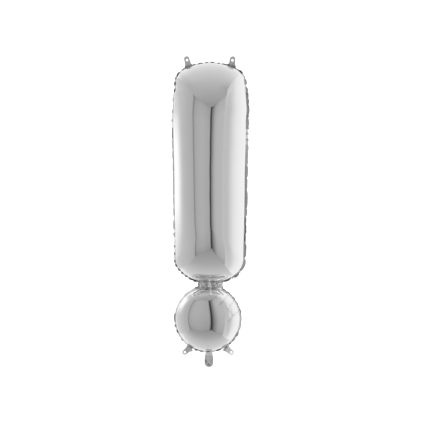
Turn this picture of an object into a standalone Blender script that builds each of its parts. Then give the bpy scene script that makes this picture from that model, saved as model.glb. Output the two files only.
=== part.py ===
"""A silver foil balloon in the shape of an exclamation mark, at its real size.

Units are metres, +Z is up and the front faces -Y. Both films meet in the plane y = 0.
The origin is the float point, the centre of the gas that the films hold.
"""

import math

import bmesh
import bpy
import numpy as np

COLLECTION = "foil_balloon"

# Film and weld. The real film is about 0.04 mm thick, so one millimetre stands in for it.
FILM = 0.001
CLEARANCE = 0.0003
FILM_OFF_MIDDLE = 0.0004
WELD_MERGE = 0.00005
RIM_WIDTH = 0.008
RIM_THICKNESS = 0.002

# Stem: the long chamber. Its outline is the weld's inner edge. Its top is an arch that rises above
# STEM_TOP_Z, falls by STEM_ARCH_FALL at STEM_ARCH_X, and turns tight corners. Its low end is rounded.
STEM_TOP_Z = 0.322
STEM_ARCH_RISE = 0.0965
STEM_ARCH_FALL = 0.0195
STEM_ARCH_X = 0.095
STEM_ARCH_POWER = 1.5
STEM_TOP_ROUNDNESS = 4.5
STEM_LOW_Z = -0.220
STEM_LOW_HEIGHT = 0.083
STEM_LOW_ROUNDNESS = 2.2
# Half widths of the straight sides: columns are z and half width.
STEM_SIDES = (
    (0.322, 0.1145),
    (0.230, 0.1190),
    (0.000, 0.1150),
    (-0.220, 0.1110),
)
STEM_LOW_STEPS = 11
STEM_SIDE_STEPS = 9
STEM_TOP_STEPS = 16
FINE_STEPS = 400

# Stem's depth: it holds along the spine and falls off towards both ends.
STEM_HALF_DEPTH = 0.0925
STEM_SPINE_TOP_Z = 0.25
STEM_SPINE_LOW_Z = -0.12
STEM_SPINE_SHARE = 0.4
STEM_FALL_TOP_Z = 0.06
STEM_FALL_TOP_FULLNESS = 4.0
STEM_FALL_LOW_Z = -0.02
STEM_FALL_LOW_FULLNESS = 2.5

# Dot: the round chamber, which hangs a little to the left of the stem's centre line.
DOT_CENTRE_X = -0.0084
DOT_CENTRE_Z = -0.4234
DOT_RADIUS = 0.1062
DOT_HALF_DEPTH = 0.0637
DOT_ARC_STEPS = 40
# Its profile adds a gentle dome, the fall of a disc inflated from flat films, and a steep edge.
DISC_DOME = 0.30
DISC_SIDE = 0.72
DISC_POWER = 3.2
DISC_EDGE = 0.100
DISC_EDGE_POWER = 12

# Neck: the narrow gathered passage between the two chambers.
NECK_CENTRE_X = 0.0010
NECK_HALF_WIDTH = 0.0365
NECK_HALF_DEPTH = 0.016
NECK_WAIST = 0.78
NECK_FADE = 0.030
NECK_BLEND = 2.4
NECK_RIM_WIDTH = 0.0065
NECK_CORNER = 0.003
NECK_REACH = 0.016
NECK_COLUMNS = 12
NECK_ROWS = 5

# Rings of a chamber's film between its spine and its weld.
DOME_RINGS = 9

# Hanging tabs: name, hole centre x and z, lean from straight up in degrees, half width, and how far
# the middle of the round tip lies beyond the hole's centre.
TABS = (
    ("tab_top_left", -0.0765, 0.4267, 9.0, 0.0090, 0.0045),
    ("tab_top_right", 0.0729, 0.4261, -9.0, 0.0090, 0.0045),
    ("tab_bottom_left", -0.0838, -0.5328, 131.0, 0.0082, 0.0000),
    ("tab_bottom_right", 0.0690, -0.5335, -131.0, 0.0082, 0.0000),
)
TAB_HOLE_RADIUS = 0.0041
TAB_FLARE = 0.0045
TAB_FLARE_START = math.radians(35)
TAB_THICKNESS = 0.002

# Filling tail: two plies with the valve's film between them. The back ply has the filling hole.
TAIL_CENTRE_X = -0.0046
TAIL_HALF_WIDTH = 0.0140
TAIL_SHOULDER = 0.0018
TAIL_SHOULDER_DROP = 0.008
TAIL_TIP_Z = -0.5814
TAIL_PLY = 0.0007
TAIL_HOLE_RADIUS = 0.0040
TAIL_HOLE_ABOVE_TIP = 0.0150
VALVE_HALF_WIDTH = 0.0095
VALVE_ABOVE_TIP = 0.0075
VALVE_FILM = 0.0005

ROUND_STEPS = 10
SMOOTH_ANGLE = math.radians(40)

# Materials: columns are colour, metallic and roughness.
SILVER = ((0.86, 0.87, 0.88, 1.0), 1.0, 0.08)
WELDED = ((0.80, 0.81, 0.82, 1.0), 1.0, 0.20)
MILKY = ((0.80, 0.82, 0.84, 1.0), 0.0, 0.20)


def clear_scene():
    for old in list(bpy.data.objects):
        bpy.data.objects.remove(old)


def new_collection(name):
    collection = bpy.data.collections.new(name)
    bpy.context.scene.collection.children.link(collection)
    return collection


def film_material(name, finish):
    colour, metallic, roughness = finish
    material = bpy.data.materials.new(name)
    material.use_nodes = True
    shader = material.node_tree.nodes["Principled BSDF"]
    shader.inputs["Base Color"].default_value = colour
    shader.inputs["Metallic"].default_value = metallic
    shader.inputs["Roughness"].default_value = roughness
    return material


# Curves of the outline


def spread(low, high, steps):
    """Evenly spaced numbers from low to high, both included."""
    return [low + (high - low) * step / steps for step in range(steps + 1)]


def clamp(value, low=0.0, high=1.0):
    return min(max(value, low), high)


def smoothstep(share):
    share = clamp(share)
    return share * share * (3 - 2 * share)


def rounded(share, roundness):
    """The other coordinate of a rounded quarter outline, both as shares of its half axes."""
    return (1 - clamp(share) ** roundness) ** (1 / roundness)


def resampled(points, steps):
    """Evenly spaced points along a line through many points, both of its ends included."""
    across, along = np.array(points).T
    lengths = np.concatenate([[0.0], np.cumsum(np.hypot(np.diff(across), np.diff(along)))])
    places = np.linspace(0.0, lengths[-1], steps + 1)
    return list(zip(np.interp(places, lengths, across), np.interp(places, lengths, along)))


def stem_low_edge(x):
    """Height of the stem's lower outline at x."""
    share = abs(x) / STEM_SIDES[-1][1]
    return STEM_LOW_Z - STEM_LOW_HEIGHT * rounded(share, STEM_LOW_ROUNDNESS)


def stem_top_edge(x):
    """Height of the stem's upper outline at x."""
    share = abs(x) / STEM_SIDES[0][1]
    arch = STEM_ARCH_RISE - STEM_ARCH_FALL * (abs(x) / STEM_ARCH_X) ** STEM_ARCH_POWER
    return STEM_TOP_Z + arch * rounded(share, STEM_TOP_ROUNDNESS)


def stem_side(z):
    """Half width of the stem's straight sides at height z."""
    for (z_high, high), (z_low, low) in zip(STEM_SIDES, STEM_SIDES[1:]):
        if z >= z_low:
            return high + (low - high) * smoothstep((z_high - z) / (z_high - z_low))
    return STEM_SIDES[-1][1]


def stem_right_low(first_x):
    """The lower end's right outline, finely spaced, outwards from first_x."""
    low_width = STEM_SIDES[-1][1]
    turns = spread(math.asin(first_x / low_width), math.pi / 2, FINE_STEPS)
    return [(low_width * math.sin(turn), stem_low_edge(low_width * math.sin(turn))) for turn in turns]


def stem_right_side():
    """The right side's outline, finely spaced, upwards."""
    return [(stem_side(z), z) for z in spread(STEM_LOW_Z, STEM_TOP_Z, FINE_STEPS)]


def stem_right_top():
    """The top's right outline, finely spaced, inwards to the middle."""
    high_width = STEM_SIDES[0][1]
    turns = spread(0.0, math.pi / 2, FINE_STEPS)
    return [(high_width * math.cos(turn), stem_top_edge(high_width * math.cos(turn))) for turn in turns]


STEM_RIGHT_X, STEM_RIGHT_Z = np.array(stem_right_low(0.0) + stem_right_side() + stem_right_top()).T


def stem_half_width(z):
    """Half width of the stem's outline at height z."""
    return float(np.interp(z, STEM_RIGHT_Z, STEM_RIGHT_X))


def dot_high_edge(x):
    """Height of the dot's upper outline at x."""
    return DOT_CENTRE_Z + math.sqrt(DOT_RADIUS**2 - (x - DOT_CENTRE_X) ** 2)


def neck_columns():
    """The neck's columns from left to right, closer together at its sides."""
    turns = spread(math.pi, 0.0, NECK_COLUMNS)
    return [NECK_CENTRE_X + NECK_HALF_WIDTH * math.cos(turn) for turn in turns]


# Depth of the inflated film


def disc_profile():
    """Height over the radius of the dot, both as shares."""
    turns = np.linspace(0.0, math.pi / 2, FINE_STEPS)
    shares = np.sin(turns)
    slopes = shares**DISC_POWER / np.sqrt(1 + shares**2)
    side = np.concatenate([[0.0], np.cumsum((slopes[1:] + slopes[:-1]) / 2 * np.diff(turns))])
    falls = DISC_DOME / 2 * shares**2 + DISC_SIDE * side + DISC_EDGE * shares**DISC_EDGE_POWER
    return shares, 1 - falls / falls[-1]


DISC_SHARES, DISC_HEIGHTS = disc_profile()


def stem_depth(x, z, dome):
    """The stem's depth at x and z. dome is the height share of its rounded ends there."""
    up = clamp((z - STEM_FALL_TOP_Z) / (STEM_TOP_Z + STEM_ARCH_RISE - STEM_FALL_TOP_Z))
    low_tip = STEM_LOW_Z - STEM_LOW_HEIGHT
    down = clamp((STEM_FALL_LOW_Z - z) / (STEM_FALL_LOW_Z - low_tip))
    ends = math.sqrt((1 - up**STEM_FALL_TOP_FULLNESS) * (1 - down**STEM_FALL_LOW_FULLNESS))
    across = clamp(abs(x) / max(stem_half_width(z), CLEARANCE))
    straight = ends * math.sqrt(1 - across**2)
    return STEM_HALF_DEPTH * ((1 - STEM_SPINE_SHARE) * straight + STEM_SPINE_SHARE * dome)


def neck_depth(x, z):
    """Depth of the neck's own tube at x and z, which fades out inside both chambers."""
    high, low = stem_low_edge(NECK_CENTRE_X), dot_high_edge(NECK_CENTRE_X)
    half_height = (high - low) / 2
    away = abs(z - (high + low) / 2)
    share = clamp(abs(x - NECK_CENTRE_X) / NECK_HALF_WIDTH)
    waist = NECK_WAIST + (1 - NECK_WAIST) * smoothstep(away / half_height)
    fade = 1 - smoothstep((away - half_height) / NECK_FADE)
    return NECK_HALF_DEPTH * waist * fade * math.sqrt(1 - share**2)


def blended(first, second):
    """Two depths in one skin without a crease between them."""
    return (first**NECK_BLEND + second**NECK_BLEND) ** (1 / NECK_BLEND)


# Outlines of the chambers, the rim and the small pieces


def stem_outline():
    """The stem's weld, anticlockwise from the neck's right side.

    Each item is outline x and z, and the z of the spine point behind it.
    """
    points = []
    for side in (1, -1):
        mouth_x = abs(NECK_CENTRE_X + side * NECK_HALF_WIDTH)
        half = resampled(stem_right_low(mouth_x), STEM_LOW_STEPS)
        half += resampled(stem_right_side(), STEM_SIDE_STEPS)[1:-1]
        half += resampled(stem_right_top(), STEM_TOP_STEPS)
        if side > 0:
            points += half[:-1]
        else:
            points += [(-x, z) for x, z in reversed(half)]
    return [(x, z, clamp(z, STEM_SPINE_LOW_Z, STEM_SPINE_TOP_Z)) for x, z in points]


def stem_mouth():
    """The line where the stem opens to the neck, left to right, in the form of stem_outline."""
    return [(x, stem_low_edge(x), STEM_SPINE_LOW_Z) for x in neck_columns()[1:-1]]


def dot_outline():
    """The dot's weld, anticlockwise from the neck's left side, in the form of stem_outline."""
    left = NECK_CENTRE_X - NECK_HALF_WIDTH - DOT_CENTRE_X
    right = NECK_CENTRE_X + NECK_HALF_WIDTH - DOT_CENTRE_X
    start = math.acos(left / DOT_RADIUS)
    end = math.acos(right / DOT_RADIUS) + 2 * math.pi
    return [
        (
            DOT_CENTRE_X + DOT_RADIUS * math.cos(angle),
            DOT_CENTRE_Z + DOT_RADIUS * math.sin(angle),
            DOT_CENTRE_Z,
        )
        for angle in spread(start, end, DOT_ARC_STEPS)
    ]


def dot_mouth():
    """The line where the dot opens to the neck, right to left, in the form of stem_outline."""
    columns = list(reversed(neck_columns()))[1:-1]
    return [(x, dot_high_edge(x), DOT_CENTRE_Z) for x in columns]


def film_outline():
    """The whole outline of the film, anticlockwise: stem, neck's left side, dot, neck's right side."""
    return [(x, z) for x, z, _ in stem_outline() + dot_outline()]


def moved_out(chain, distance):
    """The points of a closed anticlockwise chain, each moved square to the chain, away from its inside."""
    moved = []
    for index, (x, z) in enumerate(chain):
        before = chain[index - 1]
        after = chain[(index + 1) % len(chain)]
        along_x, along_z = after[0] - before[0], after[1] - before[1]
        length = math.hypot(along_x, along_z)
        moved.append((x + distance * along_z / length, z - distance * along_x / length))
    return moved


def rim_outer_edge():
    """The rim's outer edge, which turns a corner into the neck on each side."""
    half_width = NECK_HALF_WIDTH + NECK_RIM_WIDTH
    waist_z = (stem_low_edge(NECK_CENTRE_X) + dot_high_edge(NECK_CENTRE_X)) / 2
    upper, lower = [], []
    for x, z in moved_out([(x, z) for x, z, _ in stem_outline()], RIM_WIDTH):
        beside_neck = abs(x - NECK_CENTRE_X) < half_width + NECK_CORNER
        if not (beside_neck and z < waist_z + NECK_REACH):
            upper.append((x, z))
    for x, z in moved_out([(x, z) for x, z, _ in dot_outline()], RIM_WIDTH):
        beside_neck = abs(x - NECK_CENTRE_X) < half_width + NECK_CORNER
        if not (beside_neck and z > waist_z - NECK_REACH):
            lower.append((x, z))
    left, right = NECK_CENTRE_X - half_width, NECK_CENTRE_X + half_width
    left_turn = [(left, waist_z + NECK_CORNER), (left, waist_z - NECK_CORNER)]
    right_turn = [(right, waist_z - NECK_CORNER), (right, waist_z + NECK_CORNER)]
    return upper + left_turn + lower + right_turn


def crossing(origin, direction, edge):
    """How far a ray runs from its origin to the nearest crossing with a closed edge line."""
    nearest = None
    for index, start in enumerate(edge):
        end = edge[(index + 1) % len(edge)]
        run_x, run_z = end[0] - start[0], end[1] - start[1]
        cross = direction[0] * run_z - direction[1] * run_x
        if cross == 0:
            continue
        to_x, to_z = start[0] - origin[0], start[1] - origin[1]
        distance = (to_x * run_z - to_z * run_x) / cross
        share = (to_x * direction[1] - to_z * direction[0]) / cross
        if 0 <= share <= 1 and distance > 0 and (nearest is None or distance < nearest):
            nearest = distance
    return nearest


def circle(centre_x, centre_z, radius, steps):
    angles = spread(0.0, 2 * math.pi, steps)[:-1]
    return [(centre_x + radius * math.cos(a), centre_z + radius * math.sin(a)) for a in angles]


# Films


def link_film(name, build, collection):
    """An object from a bmesh that holds the film's outer face, thickened inwards."""
    bmesh.ops.remove_doubles(build, verts=build.verts, dist=WELD_MERGE)
    mesh = bpy.data.meshes.new(name)
    build.to_mesh(mesh)
    build.free()
    mesh.shade_smooth()
    mesh.set_sharp_from_angle(angle=SMOOTH_ANGLE)
    mesh.materials.append(film_material(name, SILVER))
    film = bpy.data.objects.new(name, mesh)
    collection.objects.link(film)
    thicken = film.modifiers.new("Film", "SOLIDIFY")
    thicken.thickness = FILM
    thicken.offset = -1
    thicken.use_even_offset = True


def add_strip(build, first, second, closed, front):
    """Faces between two rows of points of equal length, facing -Y on the front film."""
    count = len(first)
    for index in range(count if closed else count - 1):
        after = (index + 1) % count
        corners = [first[index], second[index], second[after], first[after]]
        if not front:
            corners.reverse()
        build.faces.new(corners)


def film_point(build, x, z, depth, front):
    side = -1 if front else 1
    return build.verts.new((x, side * (FILM_OFF_MIDDLE + depth), z))


def stem_panel(name, front, collection):
    """One film of the stem: rings from its spine line out to the weld and the neck's mouth."""
    build = bmesh.new()
    rings = []
    for turn in spread(0.0, math.pi / 2, DOME_RINGS):
        ring = []
        for edge_x, edge_z, spine_z in stem_outline() + stem_mouth():
            x = edge_x * math.sin(turn)
            z = spine_z + (edge_z - spine_z) * math.sin(turn)
            depth = blended(stem_depth(x, z, math.cos(turn)), neck_depth(x, z))
            ring.append(film_point(build, x, z, depth, front))
        rings.append(ring)
    for inner, outer in zip(rings, rings[1:]):
        add_strip(build, inner, outer, True, front)
    link_film(name, build, collection)


def dot_panel(name, front, collection):
    """One film of the dot: rings from its centre out to the weld and the neck's mouth."""
    build = bmesh.new()
    rings = []
    for turn in spread(0.0, math.pi / 2, DOME_RINGS):
        reach = math.sin(turn)
        dome = DOT_HALF_DEPTH * float(np.interp(reach, DISC_SHARES, DISC_HEIGHTS))
        ring = []
        for edge_x, edge_z, spine_z in dot_outline() + dot_mouth():
            x = DOT_CENTRE_X + (edge_x - DOT_CENTRE_X) * reach
            z = spine_z + (edge_z - spine_z) * reach
            ring.append(film_point(build, x, z, blended(dome, neck_depth(x, z)), front))
        rings.append(ring)
    for inner, outer in zip(rings, rings[1:]):
        add_strip(build, inner, outer, True, front)
    link_film(name, build, collection)


def neck_panel(name, front, collection):
    """One film of the neck, shallower in its middle."""
    build = bmesh.new()
    rows = []
    for down in spread(0.0, 1.0, NECK_ROWS):
        row = []
        for x in neck_columns():
            high = stem_low_edge(x) - CLEARANCE
            low = dot_high_edge(x) + CLEARANCE
            z = high + (low - high) * down
            row.append(film_point(build, x, z, neck_depth(x, z), front))
        rows.append(row)
    for upper, lower in zip(rows, rows[1:]):
        add_strip(build, upper, lower, False, front)
    link_film(name, build, collection)


# Rim, tabs and tail


def flat_piece(name, outlines, thickness, centre_y, collection, finish=WELDED):
    """A flat piece in an XZ plane from closed outlines of x and z, the first with the others as holes."""
    curve = bpy.data.curves.new(name, "CURVE")
    curve.dimensions = "2D"
    curve.fill_mode = "BOTH"
    curve.extrude = thickness / 2
    for outline in outlines:
        spline = curve.splines.new("POLY")
        spline.points.add(len(outline) - 1)
        for point, (x, z) in zip(spline.points, outline):
            point.co = (x, z, 0.0, 1.0)
        spline.use_cyclic_u = True
    curve.materials.append(film_material(name, finish))
    piece = bpy.data.objects.new(name, curve)
    piece.location = (0.0, centre_y, 0.0)
    piece.rotation_euler = (math.pi / 2, 0.0, 0.0)
    collection.objects.link(piece)


def tab(name, hole_x, hole_z, lean, half_width, tip_up, edge, collection):
    """A hanging tab: a round tip beyond its hole, straight sides, and a flared root along the rim."""
    turn = math.radians(lean)
    along = (-math.sin(turn), math.cos(turn))
    across = (math.cos(turn), math.sin(turn))

    def place(right, up):
        return (
            hole_x + across[0] * right + along[0] * up,
            hole_z + across[1] * right + along[1] * up,
        )

    def root_up(right):
        return CLEARANCE - crossing(place(right, 0.0), (-along[0], -along[1]), edge)

    corner = half_width + TAB_FLARE
    sides = []
    for side in (1, -1):
        flare = []
        for angle in spread(TAB_FLARE_START, math.pi / 2, ROUND_STEPS // 2):
            right = side * (corner - TAB_FLARE * math.sin(angle))
            flare.append((right, root_up(right) + TAB_FLARE * (1 - math.cos(angle))))
        sides.append(flare)
    right_end, left_end = sides[0][0][0], sides[1][0][0]
    root = [(right, root_up(right)) for right in spread(left_end, right_end, ROUND_STEPS)]
    tip = [
        (half_width * math.cos(angle), tip_up + half_width * math.sin(angle))
        for angle in spread(0.0, math.pi, ROUND_STEPS)
    ]
    outline = root + sides[0] + tip + list(reversed(sides[1]))
    hole = circle(hole_x, hole_z, TAB_HOLE_RADIUS, 2 * ROUND_STEPS)
    flat_piece(name, [[place(*point) for point in outline], hole], TAB_THICKNESS, 0.0, collection)


def tongue_outline(half_width, shoulder, tip_z, edge):
    """A tongue with a round lower end and a narrower root, whose upper end follows the rim's edge."""
    root_width = half_width - shoulder
    top = []
    for share in spread(1.0, -1.0, ROUND_STEPS):
        x = TAIL_CENTRE_X + share * root_width
        top.append((x, tip_z + crossing((x, tip_z), (0.0, 1.0), edge) - CLEARANCE))
    shoulder_z = min(top[0][1], top[-1][1]) - TAIL_SHOULDER_DROP
    low = [
        (
            TAIL_CENTRE_X + half_width * math.cos(angle),
            tip_z + half_width + half_width * math.sin(angle),
        )
        for angle in spread(math.pi, 2 * math.pi, 2 * ROUND_STEPS)
    ]
    left = [(TAIL_CENTRE_X - half_width, shoulder_z)]
    right = [(TAIL_CENTRE_X + half_width, shoulder_z)]
    return top + left + low + right


def build_balloon():
    clear_scene()
    collection = new_collection(COLLECTION)
    edge = rim_outer_edge()
    inner = moved_out(film_outline(), CLEARANCE)
    flat_piece("weld_rim", [edge, inner], RIM_THICKNESS, 0.0, collection)
    for suffix, front in (("front", True), ("back", False)):
        stem_panel(f"stem_{suffix}", front, collection)
        dot_panel(f"dot_{suffix}", front, collection)
        neck_panel(f"neck_{suffix}", front, collection)
    for name, hole_x, hole_z, lean, half_width, tip_up in TABS:
        tab(name, hole_x, hole_z, lean, half_width, tip_up, edge, collection)
    ply_y = VALVE_FILM / 2 + CLEARANCE + TAIL_PLY / 2
    tail = tongue_outline(TAIL_HALF_WIDTH, TAIL_SHOULDER, TAIL_TIP_Z, edge)
    hole_z = TAIL_TIP_Z + TAIL_HOLE_ABOVE_TIP
    hole = circle(TAIL_CENTRE_X, hole_z, TAIL_HOLE_RADIUS, 2 * ROUND_STEPS)
    flat_piece("tail_front", [tail], TAIL_PLY, -ply_y, collection)
    flat_piece("tail_back", [tail, hole], TAIL_PLY, ply_y, collection)
    valve = tongue_outline(VALVE_HALF_WIDTH, 0.0, TAIL_TIP_Z + VALVE_ABOVE_TIP, edge)
    flat_piece("valve_film", [valve], VALVE_FILM, 0.0, collection, MILKY)


build_balloon()
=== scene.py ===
"""Looks of a silver foil balloon in the shape of an exclamation mark.

Both films, the welded rim, the tabs and the tail are computed surfaces in the place of the solids.
Units are metres, +Z is up, the front faces -Y, and both films meet in the plane y = 0.
"""

import math
from functools import partial

import bmesh
import bpy
import numpy as np
from mathutils.kdtree import KDTree
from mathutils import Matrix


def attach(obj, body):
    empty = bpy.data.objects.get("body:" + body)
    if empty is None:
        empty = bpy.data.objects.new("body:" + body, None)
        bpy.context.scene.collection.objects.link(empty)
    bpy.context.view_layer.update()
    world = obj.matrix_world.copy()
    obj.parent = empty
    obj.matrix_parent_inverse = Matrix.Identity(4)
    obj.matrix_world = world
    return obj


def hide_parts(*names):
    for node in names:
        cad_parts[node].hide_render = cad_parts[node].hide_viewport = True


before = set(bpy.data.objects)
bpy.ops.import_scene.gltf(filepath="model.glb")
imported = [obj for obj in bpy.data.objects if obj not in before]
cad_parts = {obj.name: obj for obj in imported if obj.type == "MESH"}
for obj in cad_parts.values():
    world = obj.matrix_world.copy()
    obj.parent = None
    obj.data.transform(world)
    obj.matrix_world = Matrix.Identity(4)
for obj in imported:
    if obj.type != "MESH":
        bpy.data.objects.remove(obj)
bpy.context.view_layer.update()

# Photo: 423 pixels square, seen from straight ahead with a long lens.
FRAME_PIXELS = 423
METRES_PER_PIXEL = 0.003285
FRAME_WIDTH = FRAME_PIXELS * METRES_PER_PIXEL
VIEW_CENTRE_X = 0.0039
VIEW_CENTRE_Z = -0.0706
LENS_MM = 100.0
SENSOR_MM = 36.0
CAMERA_DISTANCE = FRAME_WIDTH * LENS_MM / SENSOR_MM

# Stem: its outline is the weld's inner edge. Its top is an arch with tight corners, its low end is round.
STEM_TOP_Z = 0.322
STEM_ARCH_RISE = 0.0965
STEM_ARCH_FALL = 0.0195
STEM_ARCH_X = 0.095
STEM_ARCH_POWER = 1.5
STEM_TOP_ROUNDNESS = 4.5
STEM_LOW_Z = -0.22
STEM_LOW_HEIGHT = 0.083
STEM_LOW_ROUNDNESS = 2.2
STEM_HIGH_TIP_Z = STEM_TOP_Z + STEM_ARCH_RISE
STEM_LOW_TIP_Z = STEM_LOW_Z - STEM_LOW_HEIGHT
# Half widths of the straight sides: columns are z and half width.
STEM_SIDES = (
    (0.322, 0.1145), (0.23, 0.119), (0.000, 0.115), (-0.22, 0.111),
)
# Where the weld stands out further. Columns: side, size, upper end, its fade, lower end, its fade.
SWELLS = (
    (-1, 0.0045, 0.325, 0.055, -0.21, 0.1),
    (1, 0.0042, 0.352, 0.05, 0.225, 0.045),
)
# More of that, which only the film's outer part follows.
OUTER_SWELLS = (
    (-1, 0.005, 0.337, 0.03, 0.27, 0.05),
    (-1, 0.0046, -0.115, 0.09, -0.275, 0.032),
)
OUTER_FROM = 0.55

# Stem's depth: it holds along the spine and falls off towards both ends.
STEM_HALF_DEPTH = 0.0925
STEM_SPINE_TOP_Z = 0.25
STEM_SPINE_LOW_Z = -0.12
STEM_SPINE_SHARE = 0.4
STEM_FALL_TOP_Z = 0.06
STEM_FALL_TOP_FULLNESS = 4.0
STEM_FALL_LOW_Z = -0.02
STEM_FALL_LOW_FULLNESS = 2.5
# The front ridge bows to the left in the stem's middle.
STEM_RIDGE_SHIFT = -0.004
STEM_RIDGE_Z = 0.03
STEM_RIDGE_REACH = 0.26

# Dot
DOT_CENTRE_X = -0.0084
DOT_CENTRE_Z = -0.4234
DOT_RADIUS = 0.1062
DOT_HALF_DEPTH = 0.0637
# Its profile adds a gentle dome, the fall of a disc inflated from flat films, and a steep edge.
DISC_DOME = 0.3
DISC_SIDE = 0.72
DISC_POWER = 3.2
DISC_EDGE = 0.1
DISC_EDGE_POWER = 12
# Its front ridge bends to the right below this height.
DOT_RIDGE_SHIFT = 0.0045
DOT_RIDGE_Z = -0.345
DOT_RIDGE_FADE = 0.07
DOT_RIDGE_REACH = 0.65

# Neck
NECK_CENTRE_X = 0.001
NECK_HALF_WIDTH = 0.0365
NECK_HALF_DEPTH = 0.016
NECK_WAIST = 0.78
NECK_FADE = 0.03
NECK_BLEND = 2.4

# Weld
RIM_WIDTH = 0.008
RIM_SHEET = 0.0003
FILM_OFF_MIDDLE = 0.0002

# Hanging tabs: name, hole's x and z, lean in degrees, half width, height of the round tip's middle above
# the hole, widening towards the root, flare there, slope to the left, and painted shades of body and root.
TABS = (
    ("tab_top_left", -0.0765, 0.4267, 14.0, 0.009, 0.0045, 0.0012, 0.006, 0.13, 0.96, 0.6),
    ("tab_top_right", 0.0729, 0.4261, -9.0, 0.009, 0.0045, 0.002, 0.0065, 0.13, 0.96, 0.52),
    ("tab_bottom_left", -0.0838, -0.5328, 131.0, 0.008, 0.0, 0.0026, 0.0045, 0.2, 1, 0.78),
    ("tab_bottom_right", 0.069, -0.5335, -131.0, 0.008, 0.0, 0.0026, 0.0045, -0.34, 0.98, 0.66),
)
TAB_HOLE_RADIUS = 0.0041
TAB_SHEET = 0.0007

# Filling tail
TAIL_CENTRE_X = -0.0046
TAIL_HALF_WIDTH = 0.014
TAIL_SHOULDER = 0.0018
TAIL_TIP_Z = -0.5814
TAIL_TOP_Z = DOT_CENTRE_Z - DOT_RADIUS - RIM_WIDTH + 0.003
TAIL_SHEET = 0.0003
TAIL_TURN = 0.13
TAIL_GAP = 0.0006
TAIL_HOLE_RADIUS = 0.004
TAIL_HOLE_ABOVE_TIP = 0.015
VALVE_HALF_WIDTH = 0.0095
VALVE_ABOVE_TIP = 0.0075
VALVE_SHEET = 0.0002


# What several parts share

MERGE_DISTANCE = 0.000004
SHARP_ANGLE = math.radians(50)


def new_object(name, data):
    piece = bpy.data.objects.new(name, data)
    bpy.context.scene.collection.objects.link(piece)
    return piece


def set_inputs(node, inputs):
    """Gives a node's inputs their values or links."""
    for key, value in inputs.items():
        if isinstance(value, bpy.types.NodeSocket):
            node.id_data.links.new(value, node.inputs[key])
        else:
            node.inputs[key].default_value = value


def add_node(tree, kind, inputs, **options):
    node = tree.nodes.new(f"ShaderNode{kind}")
    for option, value in options.items():
        setattr(node, option, value)
    set_inputs(node, inputs)
    return node


def smoothstep(share):
    share = np.clip(share, 0.0, 1.0)
    return share * share * (3 - 2 * share)


def at_places(places, marks, values):
    """Values, or rows of them, at places between their marks."""
    return np.apply_along_axis(lambda column: np.interp(places, marks, column), 0, values)


def running_sum(values, marks):
    """Area under the values up to each mark."""
    return np.concatenate([[0.0], np.cumsum((values[1:] + values[:-1]) / 2 * np.diff(marks))])


def mesh_from_rows(name, points, shade, closed=False, flip=False):
    """A smooth mesh from rows of points, each with its shade. closed joins the last and first columns."""
    index = np.arange(points[..., 0].size).reshape(points.shape[:2])
    right = np.roll(index, -1, axis=1) if closed else index[:, 1:]
    left = index if closed else index[:, :-1]
    quads = np.stack([left[:-1], left[1:], right[1:], right[:-1]], -1).reshape(-1, 4)
    if flip:
        quads = quads[:, ::-1]
    mesh = bpy.data.meshes.new(name)
    mesh.from_pydata(points.reshape(-1, 3).tolist(), [], quads.tolist())
    layer = mesh.attributes.new("shade", "FLOAT", "POINT")
    layer.data.foreach_set("value", shade.ravel().tolist())
    build = bmesh.new()
    build.from_mesh(mesh)
    bmesh.ops.remove_doubles(build, verts=build.verts, dist=MERGE_DISTANCE)
    build.to_mesh(mesh)
    build.free()
    mesh.shade_smooth()
    return new_object(name, mesh)


def both_faces(row, steps, edged=True):
    """Rows over a thin sheet's front, back over its back, and over its first edge if it has one."""
    shares = np.arange(steps + 1) / steps
    front, back = ([row(share, face) for share in shares] for face in (-1, 1))
    return np.array(front + back[::-1] + (front[:1] if edged else []))


# Camera, world and floor

FLOOR_Z = -1.1
FLOOR_HALF = 9.0
WORLD_LIGHT = 1.35


def make_camera():
    data = bpy.data.cameras.new("camera")
    data.lens = LENS_MM
    data.sensor_width = SENSOR_MM
    data.sensor_fit = "HORIZONTAL"
    data.clip_end = 50
    camera = new_object("camera", data)
    camera.location = (VIEW_CENTRE_X, -CAMERA_DISTANCE, VIEW_CENTRE_Z)
    camera.rotation_euler = (math.pi / 2, 0, 0)
    bpy.context.scene.camera = camera


def make_world():
    world = bpy.data.worlds.new("white_studio")
    world.use_nodes = True
    set_inputs(world.node_tree.nodes["Background"], {"Color": (1, 1, 1, 1), "Strength": WORLD_LIGHT})
    bpy.context.scene.world = world
    bpy.context.scene.view_settings.view_transform = "Standard"


def make_floor():
    mesh = bpy.data.meshes.new("floor")
    half = FLOOR_HALF
    corners = ((-half, -half), (half, -half), (half, half), (-half, half))
    mesh.from_pydata([(x, y, FLOOR_Z) for x, y in corners], [], [(0, 1, 2, 3)])
    material = bpy.data.materials.new("pale_floor")
    material.use_nodes = True
    looks = {"Base Color": (0.9, 0.9, 0.9, 1), "Roughness": 0.9, "Specular IOR Level": 0.0}
    set_inputs(material.node_tree.nodes["Principled BSDF"], looks)
    mesh.materials.append(material)
    floor = new_object("floor", mesh)
    floor.visible_glossy = False


# Light tent that the film mirrors

TENT_ROOF_Z = 0.75
TENT_BASE_Z = -0.95
TENT_MIDDLE_Z = 0.1
TENT_MIDDLE_SHARE = (TENT_MIDDLE_Z - TENT_BASE_Z) / (TENT_ROOF_Z - TENT_BASE_Z)
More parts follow.
